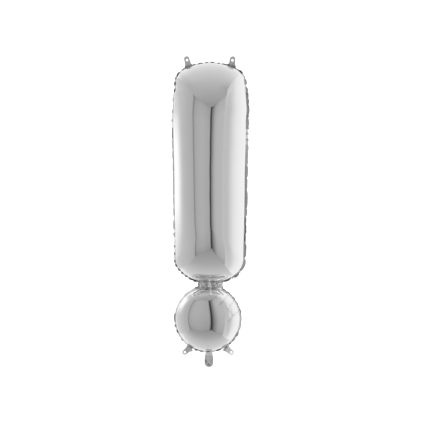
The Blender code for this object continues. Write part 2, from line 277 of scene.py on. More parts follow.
# Uprights: the top's height, then x and y of a straight one, or of its base, middle and top. The front
# panels hang a little below the roof at the slit and at the right.
UPRIGHTS = {
    "left": (TENT_ROOF_Z, (-0.765, -1.06), (-0.787, -0.905), (-0.815, -0.87)),
    "right": (TENT_ROOF_Z, (0.44, -0.6), (0.385, -0.6), (0.49, -0.6)),
    "right_low": (0.56, (0.44, -0.6), (0.385, -0.6), (0.46, -0.6)),
    "slit_left": (0.63, (0.05, -1.5)),
    "slit_right": (0.63, (0.12, -1.5)),
    "dark_left": (0.66, (-0.1, -1.62)),
    "dark_right": (0.66, (0.26, -1.62)),
    "back_left": (TENT_ROOF_Z, (-0.83, 0.95)),
    "back_right": (TENT_ROOF_Z, (0.56, 0.95)),
}
TENT_FRONT_Y = -2.1
TENT_BACK_Y = 0.95
TENT_SIDE_X = (-1.1, 0.9)
TENT_OVERLAP = 0.001
TENT_STEPS = (60, 30)
FOIL_REFLECTANCE = 0.9

# Greys of 255 as the film shows them: ramps across a panel, and falls, their shares over its height.
EVEN = ((0, 1), (1, 1))
FRONT_FALLS = (
    (0, 0.86), (0.05, 0.9), (0.15, 0.95), (0.28, 0.98), (0.36, 1), (0.8, 1), (0.9, 0.96), (1, 0.9),
)
BACK_FALLS = ((0, 0.93), (0.3, 1), (1, 0.97))
FRONT_LEFT_RAMP = (
    (0, 132), (0.05, 142), (0.09, 161), (0.17, 168), (0.4, 173),
    (0.6, 172), (0.8, 167), (0.94, 165), (1, 130),
)
FRONT_RIGHT_RAMP = (
    (0, 98), (0.06, 114), (0.11, 121), (0.17, 134), (0.25, 144),
    (0.35, 158), (0.45, 170), (0.6, 178), (1, 183),
)
LEFT_RAMP = (
    (0, 160), (0.04, 171), (0.12, 173), (0.26, 179), (0.34, 184),
    (0.5, 192), (0.6, 198), (0.75, 204), (1, 215),
)
RIGHT_RAMP = (
    (0, 190), (0.1, 187), (0.14, 190), (0.18, 200), (0.225, 214),
    (0.275, 226), (0.33, 232), (0.42, 238), (1, 245),
)
ROOF_RAMP = (
    (0, 150), (0.17, 150), (0.24, 156), (0.37, 164), (0.44, 170),
    (0.52, 179), (0.63, 200), (0.7, 218), (0.78, 235), (1, 250),
)
BASE_RAMP = (
    (0, 138), (0.17, 141), (0.24, 149), (0.37, 157), (0.47, 168),
    (0.57, 186), (0.7, 204), (0.78, 218), (0.87, 236), (1, 245),
)
BACK_RAMP = ((0, 255), (0.22, 246), (0.42, 205), (0.5, 192), (0.58, 208), (0.78, 248), (1, 255))
SLIT_RAMP = ((0, 60), (1, 60))
# Brighter or darker parts of a panel: greys added across it, and their shares over its height.
LEFT_WINDOW = (
    ((0.36, 0), (0.43, 9), (0.49, 26), (0.55, 45), (0.62, 53), (1, 52)),
    ((0.36, 0), (0.44, 0.5), (0.53, 1), (0.66, 1), (0.74, 0.6), (0.82, 0)),
)
RIGHT_ENDS = (
    ((0, 10), (0.14, 15), (0.18, 7), (0.23, 0), (1, -3)),
    ((0, 1), (0.2, 0.5), (0.35, 0), (0.78, 0), (0.9, 1), (1, 1)),
)
ROOF_RIGHT = (
    ((0.35, 0), (0.45, -8), (0.5, -15), (0.57, 4), (0.64, 12), (0.8, 0)),
    ((0.62, 0), (0.76, 1), (1, 1)),
)
ROOF_LEFT = (
    ((0.45, 0), (0.55, -7), (0.62, -9), (0.74, -16), (0.82, -10), (0.9, 0)),
    ((0, 1), (0.26, 1), (0.33, 0.6), (0.38, 0)),
)
# Panels between two uprights: these, then ramp, falls and extra parts.
PANELS = {
    "tent_front_left": ("left", "slit_left", FRONT_LEFT_RAMP, FRONT_FALLS, ()),
    "tent_front_right": ("slit_right", "right_low", FRONT_RIGHT_RAMP, FRONT_FALLS, ()),
    "tent_slit": ("dark_left", "dark_right", SLIT_RAMP, EVEN, ()),
    "tent_left": ("left", "back_left", LEFT_RAMP, EVEN, (LEFT_WINDOW,)),
    "tent_right": ("right", "back_right", RIGHT_RAMP, EVEN, (RIGHT_ENDS,)),
    "tent_back": ("back_left", "back_right", BACK_RAMP, BACK_FALLS, ()),
}


def light_of(grey):
    """Light that the film shows as this grey of 255, by the sRGB curve above its darkest greys."""
    return ((grey / 255 + 0.055) / 1.055) ** 2.4 / FOIL_REFLECTANCE


def read_ramp(ramp, places):
    return np.interp(places, *zip(*ramp))


def tent_cloth():
    """One glowing cloth for all panels, as bright as its points' shades."""
    material = bpy.data.materials.new("tent_cloth")
    material.use_nodes = True
    tree = material.node_tree
    tree.nodes.clear()
    glow = add_node(tree, "Attribute", {}, attribute_name="shade")
    emission = add_node(tree, "Emission", {"Strength": glow.outputs["Fac"]})
    add_node(tree, "OutputMaterial", {"Surface": emission.outputs[0]})
    material.cycles.emission_sampling = "NONE"
    return material


def tent_panel(name, cloth, first, last, ramp, falls, extras):
    """One panel between two edges, which only reflections see."""
    across, high = (np.linspace(0, 1, steps + 1) for steps in TENT_STEPS)
    heights = (0, TENT_MIDDLE_SHARE, 1)
    start, end = (at_places(high, heights, np.array(edge)) for edge in (first, last))
    points = start[:, None] + (end - start)[:, None] * across[:, None]
    grey = read_ramp(falls, high)[:, None] * read_ramp(ramp, across)
    for over_ramp, over_height in extras:
        grey = grey + read_ramp(over_height, high)[:, None] * read_ramp(over_ramp, across)
    panel = mesh_from_rows(name, points, light_of(np.minimum(grey, 255)))
    panel.data.materials.append(cloth)
    for ray in ("camera", "diffuse", "shadow", "transmission", "volume_scatter"):
        setattr(panel, f"visible_{ray}", False)


def upright(top, *places):
    """A panel's edge from the base to its top."""
    heights = (TENT_BASE_Z, TENT_MIDDLE_Z, top)
    return [(x, y, z) for (x, y), z in zip(places * (3 // len(places)), heights)]


def level(y, z):
    """A panel's edge from left to right at the roof or at the base."""
    left, right = TENT_SIDE_X
    return [(left, y, z), (left + (right - left) * TENT_MIDDLE_SHARE, y, z), (right, y, z)]


def make_tent():
    """Panels around the balloon, with a dark slit where the camera looks in."""
    cloth = tent_cloth()
    for name, (first, last, *greys) in PANELS.items():
        tent_panel(name, cloth, upright(*UPRIGHTS[first]), upright(*UPRIGHTS[last]), *greys)
    for name, z, ramp, extras in (
        ("tent_roof", TENT_ROOF_Z + TENT_OVERLAP, ROOF_RAMP, (ROOF_RIGHT, ROOF_LEFT)),
        ("tent_base", TENT_BASE_Z - TENT_OVERLAP, BASE_RAMP, ()),
    ):
        tent_panel(name, cloth, level(TENT_FRONT_Y, z), level(TENT_BACK_Y, z), ramp, EVEN, extras)


# Outline of the inflated films


def rounded(share, roundness):
    """The other coordinate of a rounded quarter outline, both as shares of its half axes."""
    return (1 - np.clip(share, 0, 1) ** roundness) ** (1 / roundness)


def stem_low_edge(x):
    """Height of the stem's lower outline at x."""
    return STEM_LOW_Z - STEM_LOW_HEIGHT * rounded(np.abs(x) / STEM_SIDES[-1][1], STEM_LOW_ROUNDNESS)


def stem_top_edge(x):
    """Height of the stem's upper outline at x."""
    arch = STEM_ARCH_RISE - STEM_ARCH_FALL * (np.abs(x) / STEM_ARCH_X) ** STEM_ARCH_POWER
    return STEM_TOP_Z + arch * rounded(np.abs(x) / STEM_SIDES[0][1], STEM_TOP_ROUNDNESS)


def stem_side(z):
    """Half width of the stem's straight sides at height z."""
    width = np.full(z.shape, STEM_SIDES[-1][1])
    for (z_high, high), (z_low, low) in zip(STEM_SIDES, STEM_SIDES[1:]):
        inside = (z <= z_high) & (z >= z_low)
        width = np.where(inside, high + (low - high) * smoothstep((z_high - z) / (z_high - z_low)), width)
    return width


def dot_high_edge(x):
    """Height of the dot's upper outline at x."""
    return DOT_CENTRE_Z + np.sqrt(DOT_RADIUS**2 - (x - DOT_CENTRE_X) ** 2)


def swell(side, z, rows=SWELLS):
    """How far the weld of one side stands out beyond the even outline at height z."""
    total = np.zeros_like(np.asarray(z, dtype=float))
    for where, size, top_z, top_fade, low_z, low_fade in rows:
        if where == side:
            total = total + size * smoothstep((top_z - z) / top_fade) * smoothstep((z - low_z) / low_fade)
    return total


FINE_STEPS = 900
CURVE_STEPS = 40


def stem_right_side():
    """The stem's right outline from its top to its lowest point, as x and z."""
    turns = np.linspace(0, math.pi / 2, FINE_STEPS)
    top_x = STEM_SIDES[0][1] * np.sin(turns)
    low_x = STEM_SIDES[-1][1] * np.sin(turns[::-1])
    side_z = np.linspace(STEM_TOP_Z, STEM_LOW_Z, FINE_STEPS)[1:-1]
    x = np.concatenate([top_x, stem_side(side_z), low_x])
    z = np.concatenate([stem_top_edge(top_x), side_z, stem_low_edge(low_x)])
    return x, z


STEM_SIDE_X, STEM_SIDE_Z = stem_right_side()


LEAST_WIDTH = 1e-6


def stem_half_width(z):
    """Half width of the stem's outline at height z, without its swells."""
    return np.interp(z, STEM_SIDE_Z[::-1], STEM_SIDE_X[::-1])


# Depth of the inflated films


def stem_share(x, z):
    """Place across the stem at height z, from -1 at its left weld to 1 at its right one."""
    left, right = swell(-1, z), swell(1, z)
    half = np.maximum(stem_half_width(z) + (left + right) / 2, LEAST_WIDTH)
    share = (x + (left - right) / 2) / half
    more = np.where(share < 0, swell(-1, z, OUTER_SWELLS), swell(1, z, OUTER_SWELLS)) / half
    stretch = 1 + more * smoothstep((np.abs(share) - OUTER_FROM) / (1 - OUTER_FROM))
    return np.clip(share / stretch, -1, 1)


def spine_reach(across, z):
    """Share of the way from the stem's spine line to its outline."""
    x = np.abs(across) * stem_half_width(z)
    reach = np.abs(across)
    for end_z, way in ((STEM_SPINE_TOP_Z, 1), (STEM_SPINE_LOW_Z, -1)):
        beyond = way * (z - end_z) > 0
        turn = np.arctan2(way * (z - end_z), x)
        rise = way * (STEM_SIDE_Z - end_z)
        marks = np.arctan2(rise, STEM_SIDE_X)
        order = np.argsort(marks)
        full = np.interp(turn, marks[order], np.hypot(rise, STEM_SIDE_X)[order])
        reach = np.where(beyond, np.hypot(x, z - end_z) / full, reach)
    return reach


def stem_depth(x, z):
    """How far the stem's film stands off the middle plane."""
    up = np.clip((z - STEM_FALL_TOP_Z) / (STEM_HIGH_TIP_Z - STEM_FALL_TOP_Z), 0, 1)
    down = np.clip((STEM_FALL_LOW_Z - z) / (STEM_FALL_LOW_Z - STEM_LOW_TIP_Z), 0, 1)
    ends = np.sqrt((1 - up**STEM_FALL_TOP_FULLNESS) * (1 - down**STEM_FALL_LOW_FULLNESS))
    across = stem_share(x, z)
    dome = np.sqrt(np.clip(1 - spine_reach(across, z) ** 2, 0, 1))
    width = np.maximum(stem_half_width(z), LEAST_WIDTH)
    ridge = STEM_RIDGE_SHIFT * (1 - smoothstep(np.abs(z - STEM_RIDGE_Z) / STEM_RIDGE_REACH))
    across = np.clip(across - ridge / width * (1 - across**2), -1, 1)
    straight = ends * np.sqrt(1 - across**2)
    inside = (z < STEM_HIGH_TIP_Z) & (z > STEM_LOW_TIP_Z)
    total = (1 - STEM_SPINE_SHARE) * straight + STEM_SPINE_SHARE * dome
    return np.where(inside, STEM_HALF_DEPTH * total, 0.0)


def disc_profile():
    """Height over the radius of the dot, both as shares."""
    turns = np.linspace(0, math.pi / 2, FINE_STEPS)
    reach = np.sin(turns)
    slopes = reach**DISC_POWER / np.sqrt(1 + reach**2)
    side = DISC_SIDE * running_sum(slopes, turns)
    falls = DISC_DOME / 2 * reach**2 + side + DISC_EDGE * reach**DISC_EDGE_POWER
    return reach, 1 - falls / falls[-1]


DISC_REACH, DISC_HEIGHT = disc_profile()


def dot_depth(x, z):
    reach = np.hypot(x - DOT_CENTRE_X, z - DOT_CENTRE_Z) / DOT_RADIUS
    ridge = DOT_RIDGE_SHIFT * smoothstep((DOT_RIDGE_Z - z) / DOT_RIDGE_FADE)
    ridge = ridge * (1 - smoothstep(reach / DOT_RIDGE_REACH))
    reach = np.hypot(x - ridge - DOT_CENTRE_X, z - DOT_CENTRE_Z) / DOT_RADIUS
    return DOT_HALF_DEPTH * np.interp(reach, DISC_REACH, DISC_HEIGHT)


NECK_TOP_Z = float(stem_low_edge(NECK_CENTRE_X))
NECK_LOW_Z = float(dot_high_edge(NECK_CENTRE_X))
NECK_MIDDLE_Z = (NECK_TOP_Z + NECK_LOW_Z) / 2
NECK_HALF_HEIGHT = (NECK_TOP_Z - NECK_LOW_Z) / 2


def neck_depth(x, z):
    """Depth of the neck's own tube, which fades out inside both chambers."""
    share = (x - NECK_CENTRE_X) / NECK_HALF_WIDTH
    away = np.abs(z - NECK_MIDDLE_Z)
    waist = NECK_WAIST + (1 - NECK_WAIST) * smoothstep(away / NECK_HALF_HEIGHT)
    fade = 1 - smoothstep((away - NECK_HALF_HEIGHT) / NECK_FADE)
    return NECK_HALF_DEPTH * waist * fade * np.sqrt(np.clip(1 - share**2, 0, 1))


def film_depth(x, z):
    """Distance of the inflated film from the middle plane: both chambers and the neck in one skin."""
    total = stem_depth(x, z) ** NECK_BLEND + neck_depth(x, z) ** NECK_BLEND + dot_depth(x, z) ** NECK_BLEND
    return total ** (1 / NECK_BLEND)


# The weld as one closed line

CHAIN_STEP = 0.001
NECK_SOFT = 0.0035
NECK_SOFT_REACH = 0.03


def lengths_along(chain):
    steps = np.linalg.norm(np.diff(chain, axis=0), axis=1)
    return np.concatenate([[0.0], np.cumsum(steps)])


def at_lengths(chain, places):
    return at_places(places, lengths_along(chain), chain)


def even_chain(chain, step):
    total = lengths_along(chain)[-1]
    return at_lengths(chain, np.linspace(0, total, int(round(total / step)) + 1))


def blur_weights(spread, step):
    """Offsets in steps with their weights, for a blur over this many metres to each side."""
    reach = int(3 * spread / step)
    offsets = np.arange(-reach, reach + 1)
    weights = np.exp(-0.5 * (offsets * step / spread) ** 2)
    return list(zip(offsets, weights / weights.sum()))


def softened_at_neck(chain):
    """The chain with its two corners at the neck rounded."""
    step = CHAIN_STEP / 2
    even = even_chain(chain, step)
    index, last = np.arange(len(even)), len(even) - 1
    blur = blur_weights(NECK_SOFT, step)
    soft = sum(weight * even[np.clip(index + offset, 0, last)] for offset, weight in blur)
    near = 1 - smoothstep(np.abs(even[:, 1] - NECK_MIDDLE_Z) / NECK_SOFT_REACH)
    return even + (soft - even) * near[:, None]


def side_chain(side):
    """One side of the whole outline, from the stem's top to the dot's lowest point, as x and z."""
    corner_x = NECK_CENTRE_X + side * NECK_HALF_WIDTH
    keep = (STEM_SIDE_Z > STEM_LOW_Z) | (STEM_SIDE_X > abs(corner_x))
    stem_z = STEM_SIDE_Z[keep]
    stem_x = STEM_SIDE_X[keep] + swell(side, stem_z) + swell(side, stem_z, OUTER_SWELLS)
    stem = np.stack([side * stem_x, stem_z], 1)
    neck_z = np.linspace(stem_low_edge(corner_x), dot_high_edge(corner_x), CURVE_STEPS)
    neck = np.stack([np.full(CURVE_STEPS, corner_x), neck_z], 1)
    start = math.acos((corner_x - DOT_CENTRE_X) / DOT_RADIUS)
    end = -math.pi / 2 if side > 0 else 3 * math.pi / 2
    angle = np.linspace(start, end, FINE_STEPS)[1:]
    dot = np.stack([DOT_CENTRE_X + DOT_RADIUS * np.cos(angle), DOT_CENTRE_Z + DOT_RADIUS * np.sin(angle)], 1)
    return softened_at_neck(np.concatenate([stem, neck, dot]))


RIGHT_CHAIN = side_chain(1)
LEFT_CHAIN = side_chain(-1)
RIGHT_EVEN = even_chain(RIGHT_CHAIN, CHAIN_STEP)
LEFT_EVEN = even_chain(LEFT_CHAIN, CHAIN_STEP)

# The closed weld, clockwise seen from the front: down the right side and up the left side.
WELD = np.concatenate([RIGHT_EVEN, LEFT_EVEN[::-1][1:-1]])
WELD_COUNT = len(WELD)
WELD_S = np.arange(WELD_COUNT) * CHAIN_STEP
WELD_LENGTH = WELD_COUNT * CHAIN_STEP
WELD_SIDE = np.where(np.arange(WELD_COUNT) < len(RIGHT_EVEN), 1, -1)


def smooth_ring(values, spread):
    """Values round the weld, blurred over this many metres to each side."""
    blur = blur_weights(spread, CHAIN_STEP)
    return sum(weight * np.roll(values, offset, axis=0) for offset, weight in blur)


def weld_index(s):
    return (np.asarray(s) / CHAIN_STEP).astype(int) % WELD_COUNT


def run_along(ring):
    """Unit vectors along a ring."""
    run = np.roll(ring, -1, axis=0) - np.roll(ring, 1, axis=0)
    return run / np.linalg.norm(run, axis=1, keepdims=True)


RUN_BLUR = 0.004
WELD_RUN = run_along(smooth_ring(WELD, RUN_BLUR))


# Folds along the weld

# What the weld does in each stretch. Columns: side (1 right, -1 left, 0 both), z above and below, usual
# span between creases, their depth and reach, the rim's tilt in degrees, and the painted shades of its
# inner and its outer half, as shares of light mirrored, standing in for dark reflections and shade.
STRETCHES = (
    (0, 0.5, 0.398, 0.02, 0.0014, 0.006, 64, 1, 0.98),
    (1, 0.398, 0.31, 0.024, 0.0018, 0.007, 52, 0.98, 0.8),
    (-1, 0.398, 0.31, 0.022, 0.0016, 0.006, 60, 1, 0.97),
    (1, 0.31, 0.06, 0.046, 0.0008, 0.004, 10, 0.6, 0.67),
    (1, 0.06, -0.15, 0.05, 0.001, 0.004, 9, 0.6, 0.69),
    (-1, 0.31, 0.15, 0.038, 0.0006, 0.004, 70, 0.95, 0.92),
    (-1, 0.15, -0.18, 0.042, 0.0005, 0.004, 74, 0.94, 0.92),
    (1, -0.15, -0.262, 0.048, 0.0044, 0.0065, 14, 0.58, 0.62),
    (-1, -0.18, -0.262, 0.026, 0.0016, 0.006, 60, 0.98, 0.94),
    (1, -0.262, -0.298, 0.028, 0.0034, 0.008, 42, 0.75, 0.6),
    (-1, -0.262, -0.298, 0.022, 0.002, 0.009, 58, 0.98, 0.92),
    (0, -0.298, -0.326, 0.009, 0.0018, 0.009, 35, 0.5, 0.42),
    (1, -0.326, -0.47, 0.028, 0.0022, 0.013, 52, 0.92, 0.24),
    (-1, -0.326, -0.47, 0.026, 0.0018, 0.009, 62, 0.95, 0.86),
    (1, -0.47, -0.6, 0.024, 0.0024, 0.01, 54, 0.86, 0.4),
    (-1, -0.47, -0.6, 0.022, 0.0024, 0.01, 58, 0.9, 0.66),
)
STRETCH_BLUR = 0.005
# Bits of the rim unlike their stretch, clockwise. Columns: x and z at both ends, tilt and both painted
# shades.
DASHES = (
    (0.0007, 0.4185, 0.0135, 0.4175, 55, 0.1, 0.1), (0.0227, 0.4162, 0.0325, 0.4142, 56, 0.12, 0.12),
    (0.0378, 0.4123, 0.0529, 0.4067, 52, 0.12, 0.12), (0.0535, 0.4064, 0.068, 0.4014, 15, 0.4, 0.28),
    (0.068, 0.4014, 0.0818, 0.3968, 20, 0.32, 0.24), (0.0844, 0.3949, 0.0917, 0.3912, 54, 0.24, 0.24),
    (0.0936, 0.3903, 0.1022, 0.3791, 34, 0.09, 0.09), (0.1035, 0.3771, 0.1127, 0.364, 56, 0.9, 0.22),
    (0.1127, 0.364, 0.1192, 0.3456, 34, 0.5, 0.34), (0.1206, 0.3377, 0.1222, 0.3213, 34, 0.95, 0.07),
    (0.1225, 0.3206, 0.1235, 0.3022, 8, 0.5, 0.46), (0.1235, 0.3022, 0.1245, 0.2825, 8, 0.6, 0.52),
    (0.1245, 0.2825, 0.1245, 0.2457, 6, 0.66, 0.56), (0.1245, 0.2457, 0.1245, 0.2398, 6, 0.4, 0.4),
    (0.1245, 0.2398, 0.1245, 0.207, 8, 0.7, 0.6), (0.1245, 0.207, 0.1242, 0.1991, 12, 0.62, 0.5),
    (0.1242, 0.1991, 0.1238, 0.1892, 34, 0.94, 0.74), (0.1238, 0.1892, 0.1238, 0.1807, 14, 0.66, 0.84),
    (0.1238, 0.1807, 0.1232, 0.1688, 34, 0.96, 0.84), (0.1232, 0.1688, 0.1232, 0.1597, 16, 0.84, 0.56),
    (0.1232, 0.1597, 0.1229, 0.1485, 30, 0.92, 0.64), (0.1229, 0.1485, 0.1225, 0.1281, 16, 0.8, 0.66),
    (0.1186, -0.0871, 0.1169, -0.1133, 40, 0.16, 0.3), (0.1169, -0.1133, 0.1166, -0.1445, 30, 0.5, 0.12),
    (0.1166, -0.1445, 0.1146, -0.1708, 44, 0.2, 0.12), (0.114, -0.1741, 0.114, -0.2234, 8, 0.62, 0.52),
    (0.1133, -0.226, 0.1015, -0.2694, 14, 0.66, 0.54), (0.0989, -0.2746, 0.0779, -0.2891, 10, 0.62, 0.5),
    (0.07, -0.2937, 0.0411, -0.3009, 42, 0.16, 0.12), (0.0417, -0.3219, 0.0535, -0.3305, 48, 0.6, 0.16),
    (0.0555, -0.3324, 0.0687, -0.3443, 50, 0.8, 0.18), (0.0739, -0.3495, 0.0844, -0.3633, 50, 0.8, 0.16),
    (0.0864, -0.3666, 0.0936, -0.3804, 50, 0.92, 0.18), (0.0976, -0.3893, 0.1015, -0.4073, 44, 0.9, 0.18),
    (0.1025, -0.4336, 0.0995, -0.4632, 44, 0.8, 0.44), (0.0956, -0.4684, 0.0897, -0.4862, 20, 0.6, 0.4),
    (0.0884, -0.4882, 0.0759, -0.5026, 40, 0.7, 0.26), (0.0733, -0.5052, 0.0634, -0.5131, 48, 0.3, 0.18),
    (0.0397, -0.5256, 0.0174, -0.5325, 48, 0.2, 0.11),
    (0.0076, -0.5345, -0.0003, -0.5355, 45, 0.85, 0.85),
    (-0.0046, -0.5358, -0.0122, -0.5355, 45, 0.3, 0.3),
    (-0.0233, -0.5341, -0.0371, -0.5302, 50, 0.24, 0.12),
    (-0.0417, -0.5289, -0.0535, -0.5236, 46, 0.28, 0.14),
    (-0.0595, -0.521, -0.0713, -0.5125, 30, 0.34, 0.3),
    (-0.0877, -0.4973, -0.0963, -0.4862, 48, 0.9, 0.58),
    (-0.1035, -0.4717, -0.11, -0.4579, 56, 0.16, 0.14),
    (-0.112, -0.4514, -0.1146, -0.4402, 48, 0.92, 0.18),
    (-0.116, -0.4336, -0.1169, -0.4027, 46, 0.95, 0.3),
    (-0.1041, -0.3659, -0.0982, -0.3574, 56, 0.94, 0.74),
    (-0.0877, -0.3469, -0.0811, -0.341, 46, 0.98, 0.84),
    (-0.0785, -0.3377, -0.0713, -0.3338, 50, 0.99, 0.94),
    (-0.0634, -0.3298, -0.0555, -0.3265, 50, 0.99, 0.92),
    (-0.0489, -0.3239, -0.0417, -0.3213, 40, 0.7, 0.56),
    (-0.0424, -0.3019, -0.0568, -0.295, 32, 0.1, 0.08),
    (-0.0568, -0.295, -0.0713, -0.2871, 44, 0.18, 0.14),
    (-0.0752, -0.2848, -0.0831, -0.2799, 50, 0.16, 0.16),
    (-0.089, -0.2753, -0.0949, -0.27, 48, 0.14, 0.14),
    (-0.0989, -0.2654, -0.1061, -0.2562, 50, 0.2, 0.12),
    (-0.1087, -0.2516, -0.113, -0.2424, 48, 0.14, 0.14),
    (-0.1143, -0.2391, -0.1169, -0.2273, 46, 0.6, 0.36),
    (-0.1176, -0.2142, -0.1183, -0.203, 50, 0.9, 0.2),
    (-0.1183, -0.1892, -0.1186, -0.1787, 50, 0.9, 0.24),
    (-0.1192, -0.1537, -0.1199, -0.138, 48, 0.95, 0.52),
    (-0.1199, -0.1294, -0.1209, -0.0972, 46, 0.95, 0.6),
    (-0.1215, -0.0854, -0.1229, -0.0197, 64, 0.7, 0.16),
    (-0.1229, -0.0184, -0.1229, 0.0591, 64, 0.7, 0.14), (-0.1229, 0.0598, -0.1232, 0.1314, 64, 0.6, 0.1),
    (-0.1235, 0.1327, -0.1245, 0.1675, 64, 0.7, 0.14), (-0.1245, 0.1688, -0.1248, 0.207, 60, 0.5, 0.1),
    (-0.1258, 0.2234, -0.1261, 0.2345, 54, 0.95, 0.5), (-0.1261, 0.2516, -0.1261, 0.2661, 52, 0.95, 0.62),
    (-0.1261, 0.2858, -0.1238, 0.3042, 50, 0.99, 0.92), (-0.1186, 0.3213, -0.1173, 0.3344, 54, 0.12, 0.1),
    (-0.1169, 0.343, -0.1153, 0.3561, 42, 0.44, 0.24), (-0.113, 0.3627, -0.1107, 0.3732, 50, 0.9, 0.22),
    (-0.1094, 0.3751, -0.0976, 0.3863, 50, 0.14, 0.11), (-0.0923, 0.3916, -0.0818, 0.4008, 50, 0.7, 0.16),
    (-0.0811, 0.4014, -0.0687, 0.4054, 15, 0.4, 0.28), (-0.0687, 0.4054, -0.0575, 0.4093, 20, 0.34, 0.28),
    (-0.0568, 0.4096, -0.0476, 0.4126, 50, 0.18, 0.18),
    (-0.0417, 0.4139, -0.0246, 0.4179, 55, 0.12, 0.12),
    (-0.0164, 0.4182, -0.0069, 0.4188, 55, 0.11, 0.11),
)


def stretch_values():
    """The values of STRETCHES at each point of the weld, from the span on."""
    values = np.zeros((WELD_COUNT, 6))
    for side, high, low, *rest in STRETCHES:
        here = (WELD[:, 1] <= high) & (WELD[:, 1] > low) & ((side == 0) | (WELD_SIDE == side))
        values[here] = rest
    return smooth_ring(values, STRETCH_BLUR)


STRETCH = stretch_values()


def place_on_weld(x, z):
    return float(WELD_S[np.argmin(np.hypot(WELD[:, 0] - x, WELD[:, 1] - z))])


DASH_PLACES = [(place_on_weld(*dash[:2]), place_on_weld(*dash[2:4]), *dash[4:]) for dash in DASHES]


# Creases: least span between two, room before a dash in spans, and the ranges of what is drawn for each
LEAST_SPAN = 0.003
SPAN_ROOM = 1.4
SPAN_RANGE = (0.75, 1.3)
STRENGTH_RANGE = (0.45, 1.35)
REACH_RANGE = (0.6, 1.5)
LEAN_RANGE = (-0.5, 0.5)
TILT_RANGE = (-6, 6)
SHADE_RANGE = (0.96, 1.04)
# Share of its span that a crease is wide, up to a limit. It grows wider and blunter off the weld.
CREASE_WIDTH_SHARE = 0.13
CREASE_WIDTH_LIMIT = 0.0042
CREASE_WIDENING = 0.1
CREASE_BLUNT = 0.0005
CREASE_BLUNTING = 0.06


class Folds:
    """Creases across the weld, all round it."""

    def __init__(self, seed):
        draw = np.random.default_rng(seed)
        marks = sorted({0.0, WELD_LENGTH, *(place for dash in DASH_PLACES for place in dash[:2])})
        places = [0.0]
        for mark in marks[1:]:
            while True:
                step = STRETCH[weld_index(places[-1]), 0] * draw.uniform(*SPAN_RANGE)
                if places[-1] + SPAN_ROOM * step > mark:
                    break
                places.append(places[-1] + step)
            if mark - places[-1] > LEAST_SPAN:
                places.append(mark)
        self.places = np.array([place for place in places if place < WELD_LENGTH - LEAST_SPAN])
        self.spans = np.diff(np.append(self.places, WELD_LENGTH))
        count = len(self.places)
        self.strength = draw.uniform(*STRENGTH_RANGE, count)
        self.reach = draw.uniform(*REACH_RANGE, count)
        self.lean = draw.uniform(*LEAN_RANGE, count)
        self.swing = draw.choice([-1.0, 1.0], count)
        middles = self.places + self.spans / 2
        known = STRETCH[weld_index(middles)]
        self.tilts = known[:, 3] + draw.uniform(*TILT_RANGE, count)
        # Painted shades of each span's inner and outer half, from its stretch or its dash
        self.shades = known[:, 4:] * draw.uniform(*SHADE_RANGE, (count, 1))
        for start, end, tilt, *shades in DASH_PLACES:
            here = (middles > start) & (middles < end)
            self.tilts[here] = tilt
            self.shades[here] = shades

    def slot(self, s):
        """Which span each place along the weld lies in."""
        return np.searchsorted(self.places, s % WELD_LENGTH, side="right") - 1

    def share(self, s):
        """Place within its span, from 0 to 1."""
        slot = self.slot(s)
        return np.clip((s % WELD_LENGTH - self.places[slot]) / self.spans[slot], 0, 1)

    def relief(self, s, off, strength):
        """How far the film draws in at s along the weld and off from it. Creases are sharp valleys."""
        s = s % WELD_LENGTH
        known, slot = STRETCH[weld_index(s)], self.slot(s)
        blunt = CREASE_BLUNT + CREASE_BLUNTING * off
        width = np.minimum(CREASE_WIDTH_SHARE * self.spans[slot], CREASE_WIDTH_LIMIT) + CREASE_WIDENING * off
        total = np.zeros_like(s)
        for shift in (0, 1):
            near = (slot + shift) % len(self.places)
            place = self.places[near] + np.where(slot + shift == len(self.places), WELD_LENGTH, 0)
            gap = s - place - self.lean[near] * off
            fade = np.exp(-off / (known[..., 2] * self.reach[near]))
            total += np.exp(-np.sqrt(gap**2 + blunt**2) / width) * fade * strength[near]
        return -known[..., 1] * total


FOLDS = Folds(11)
# The rim lies flat near the tabs' holes and the tail's root: reach, fade, and shares taken off
CALM_HIGH = 0.014
CALM_LOW = 0.013
CALM_TAIL = 0.008
CALM_FADE = 0.006
CALM_TILT = 0.8
CALM_RELIEF = 0.7
# How far each span of the weld swings out of the middle plane
WANDER_HEIGHT = 0.001
WANDER_BLUR = 0.002
TILT_BLUR = 0.0012
SHADE_BLUR = 0.0008


def calm_at_tabs(points):
    """One beside a tab or the tail, and nil further away."""
    calm = np.zeros(len(points))
    spots = [(x, z, CALM_HIGH if z > 0 else CALM_LOW) for _, x, z, *_ in TABS]
    spots.append((TAIL_CENTRE_X, DOT_CENTRE_Z - DOT_RADIUS - RIM_WIDTH, CALM_TAIL))
    for x, z, reach in spots:
        away = np.hypot(points[:, 0] - x, points[:, 1] - z)
        calm = np.maximum(calm, 1 - smoothstep((away - reach) / CALM_FADE))
    return calm


WELD_SLOT = FOLDS.slot(WELD_S)
WELD_CALM = calm_at_tabs(WELD)
WANDER = FOLDS.swing[WELD_SLOT] * np.sin(np.pi * FOLDS.share(WELD_S)) * WANDER_HEIGHT
WELD_WANDER = smooth_ring(WANDER, WANDER_BLUR) * (1 - WELD_CALM)
WELD_TILT = smooth_ring(np.radians(FOLDS.tilts[WELD_SLOT]), TILT_BLUR) * (1 - CALM_TILT * WELD_CALM)
# Painted shade of the rim's inner and outer half at each point of the weld
WELD_SHADE = smooth_ring(FOLDS.shades[WELD_SLOT], SHADE_BLUR)
WELD_RELIEF = FOLDS.relief(WELD_S, np.zeros(WELD_COUNT), FOLDS.strength) * (1 - CALM_RELIEF * WELD_CALM)


# Creases and pleats away from the weld

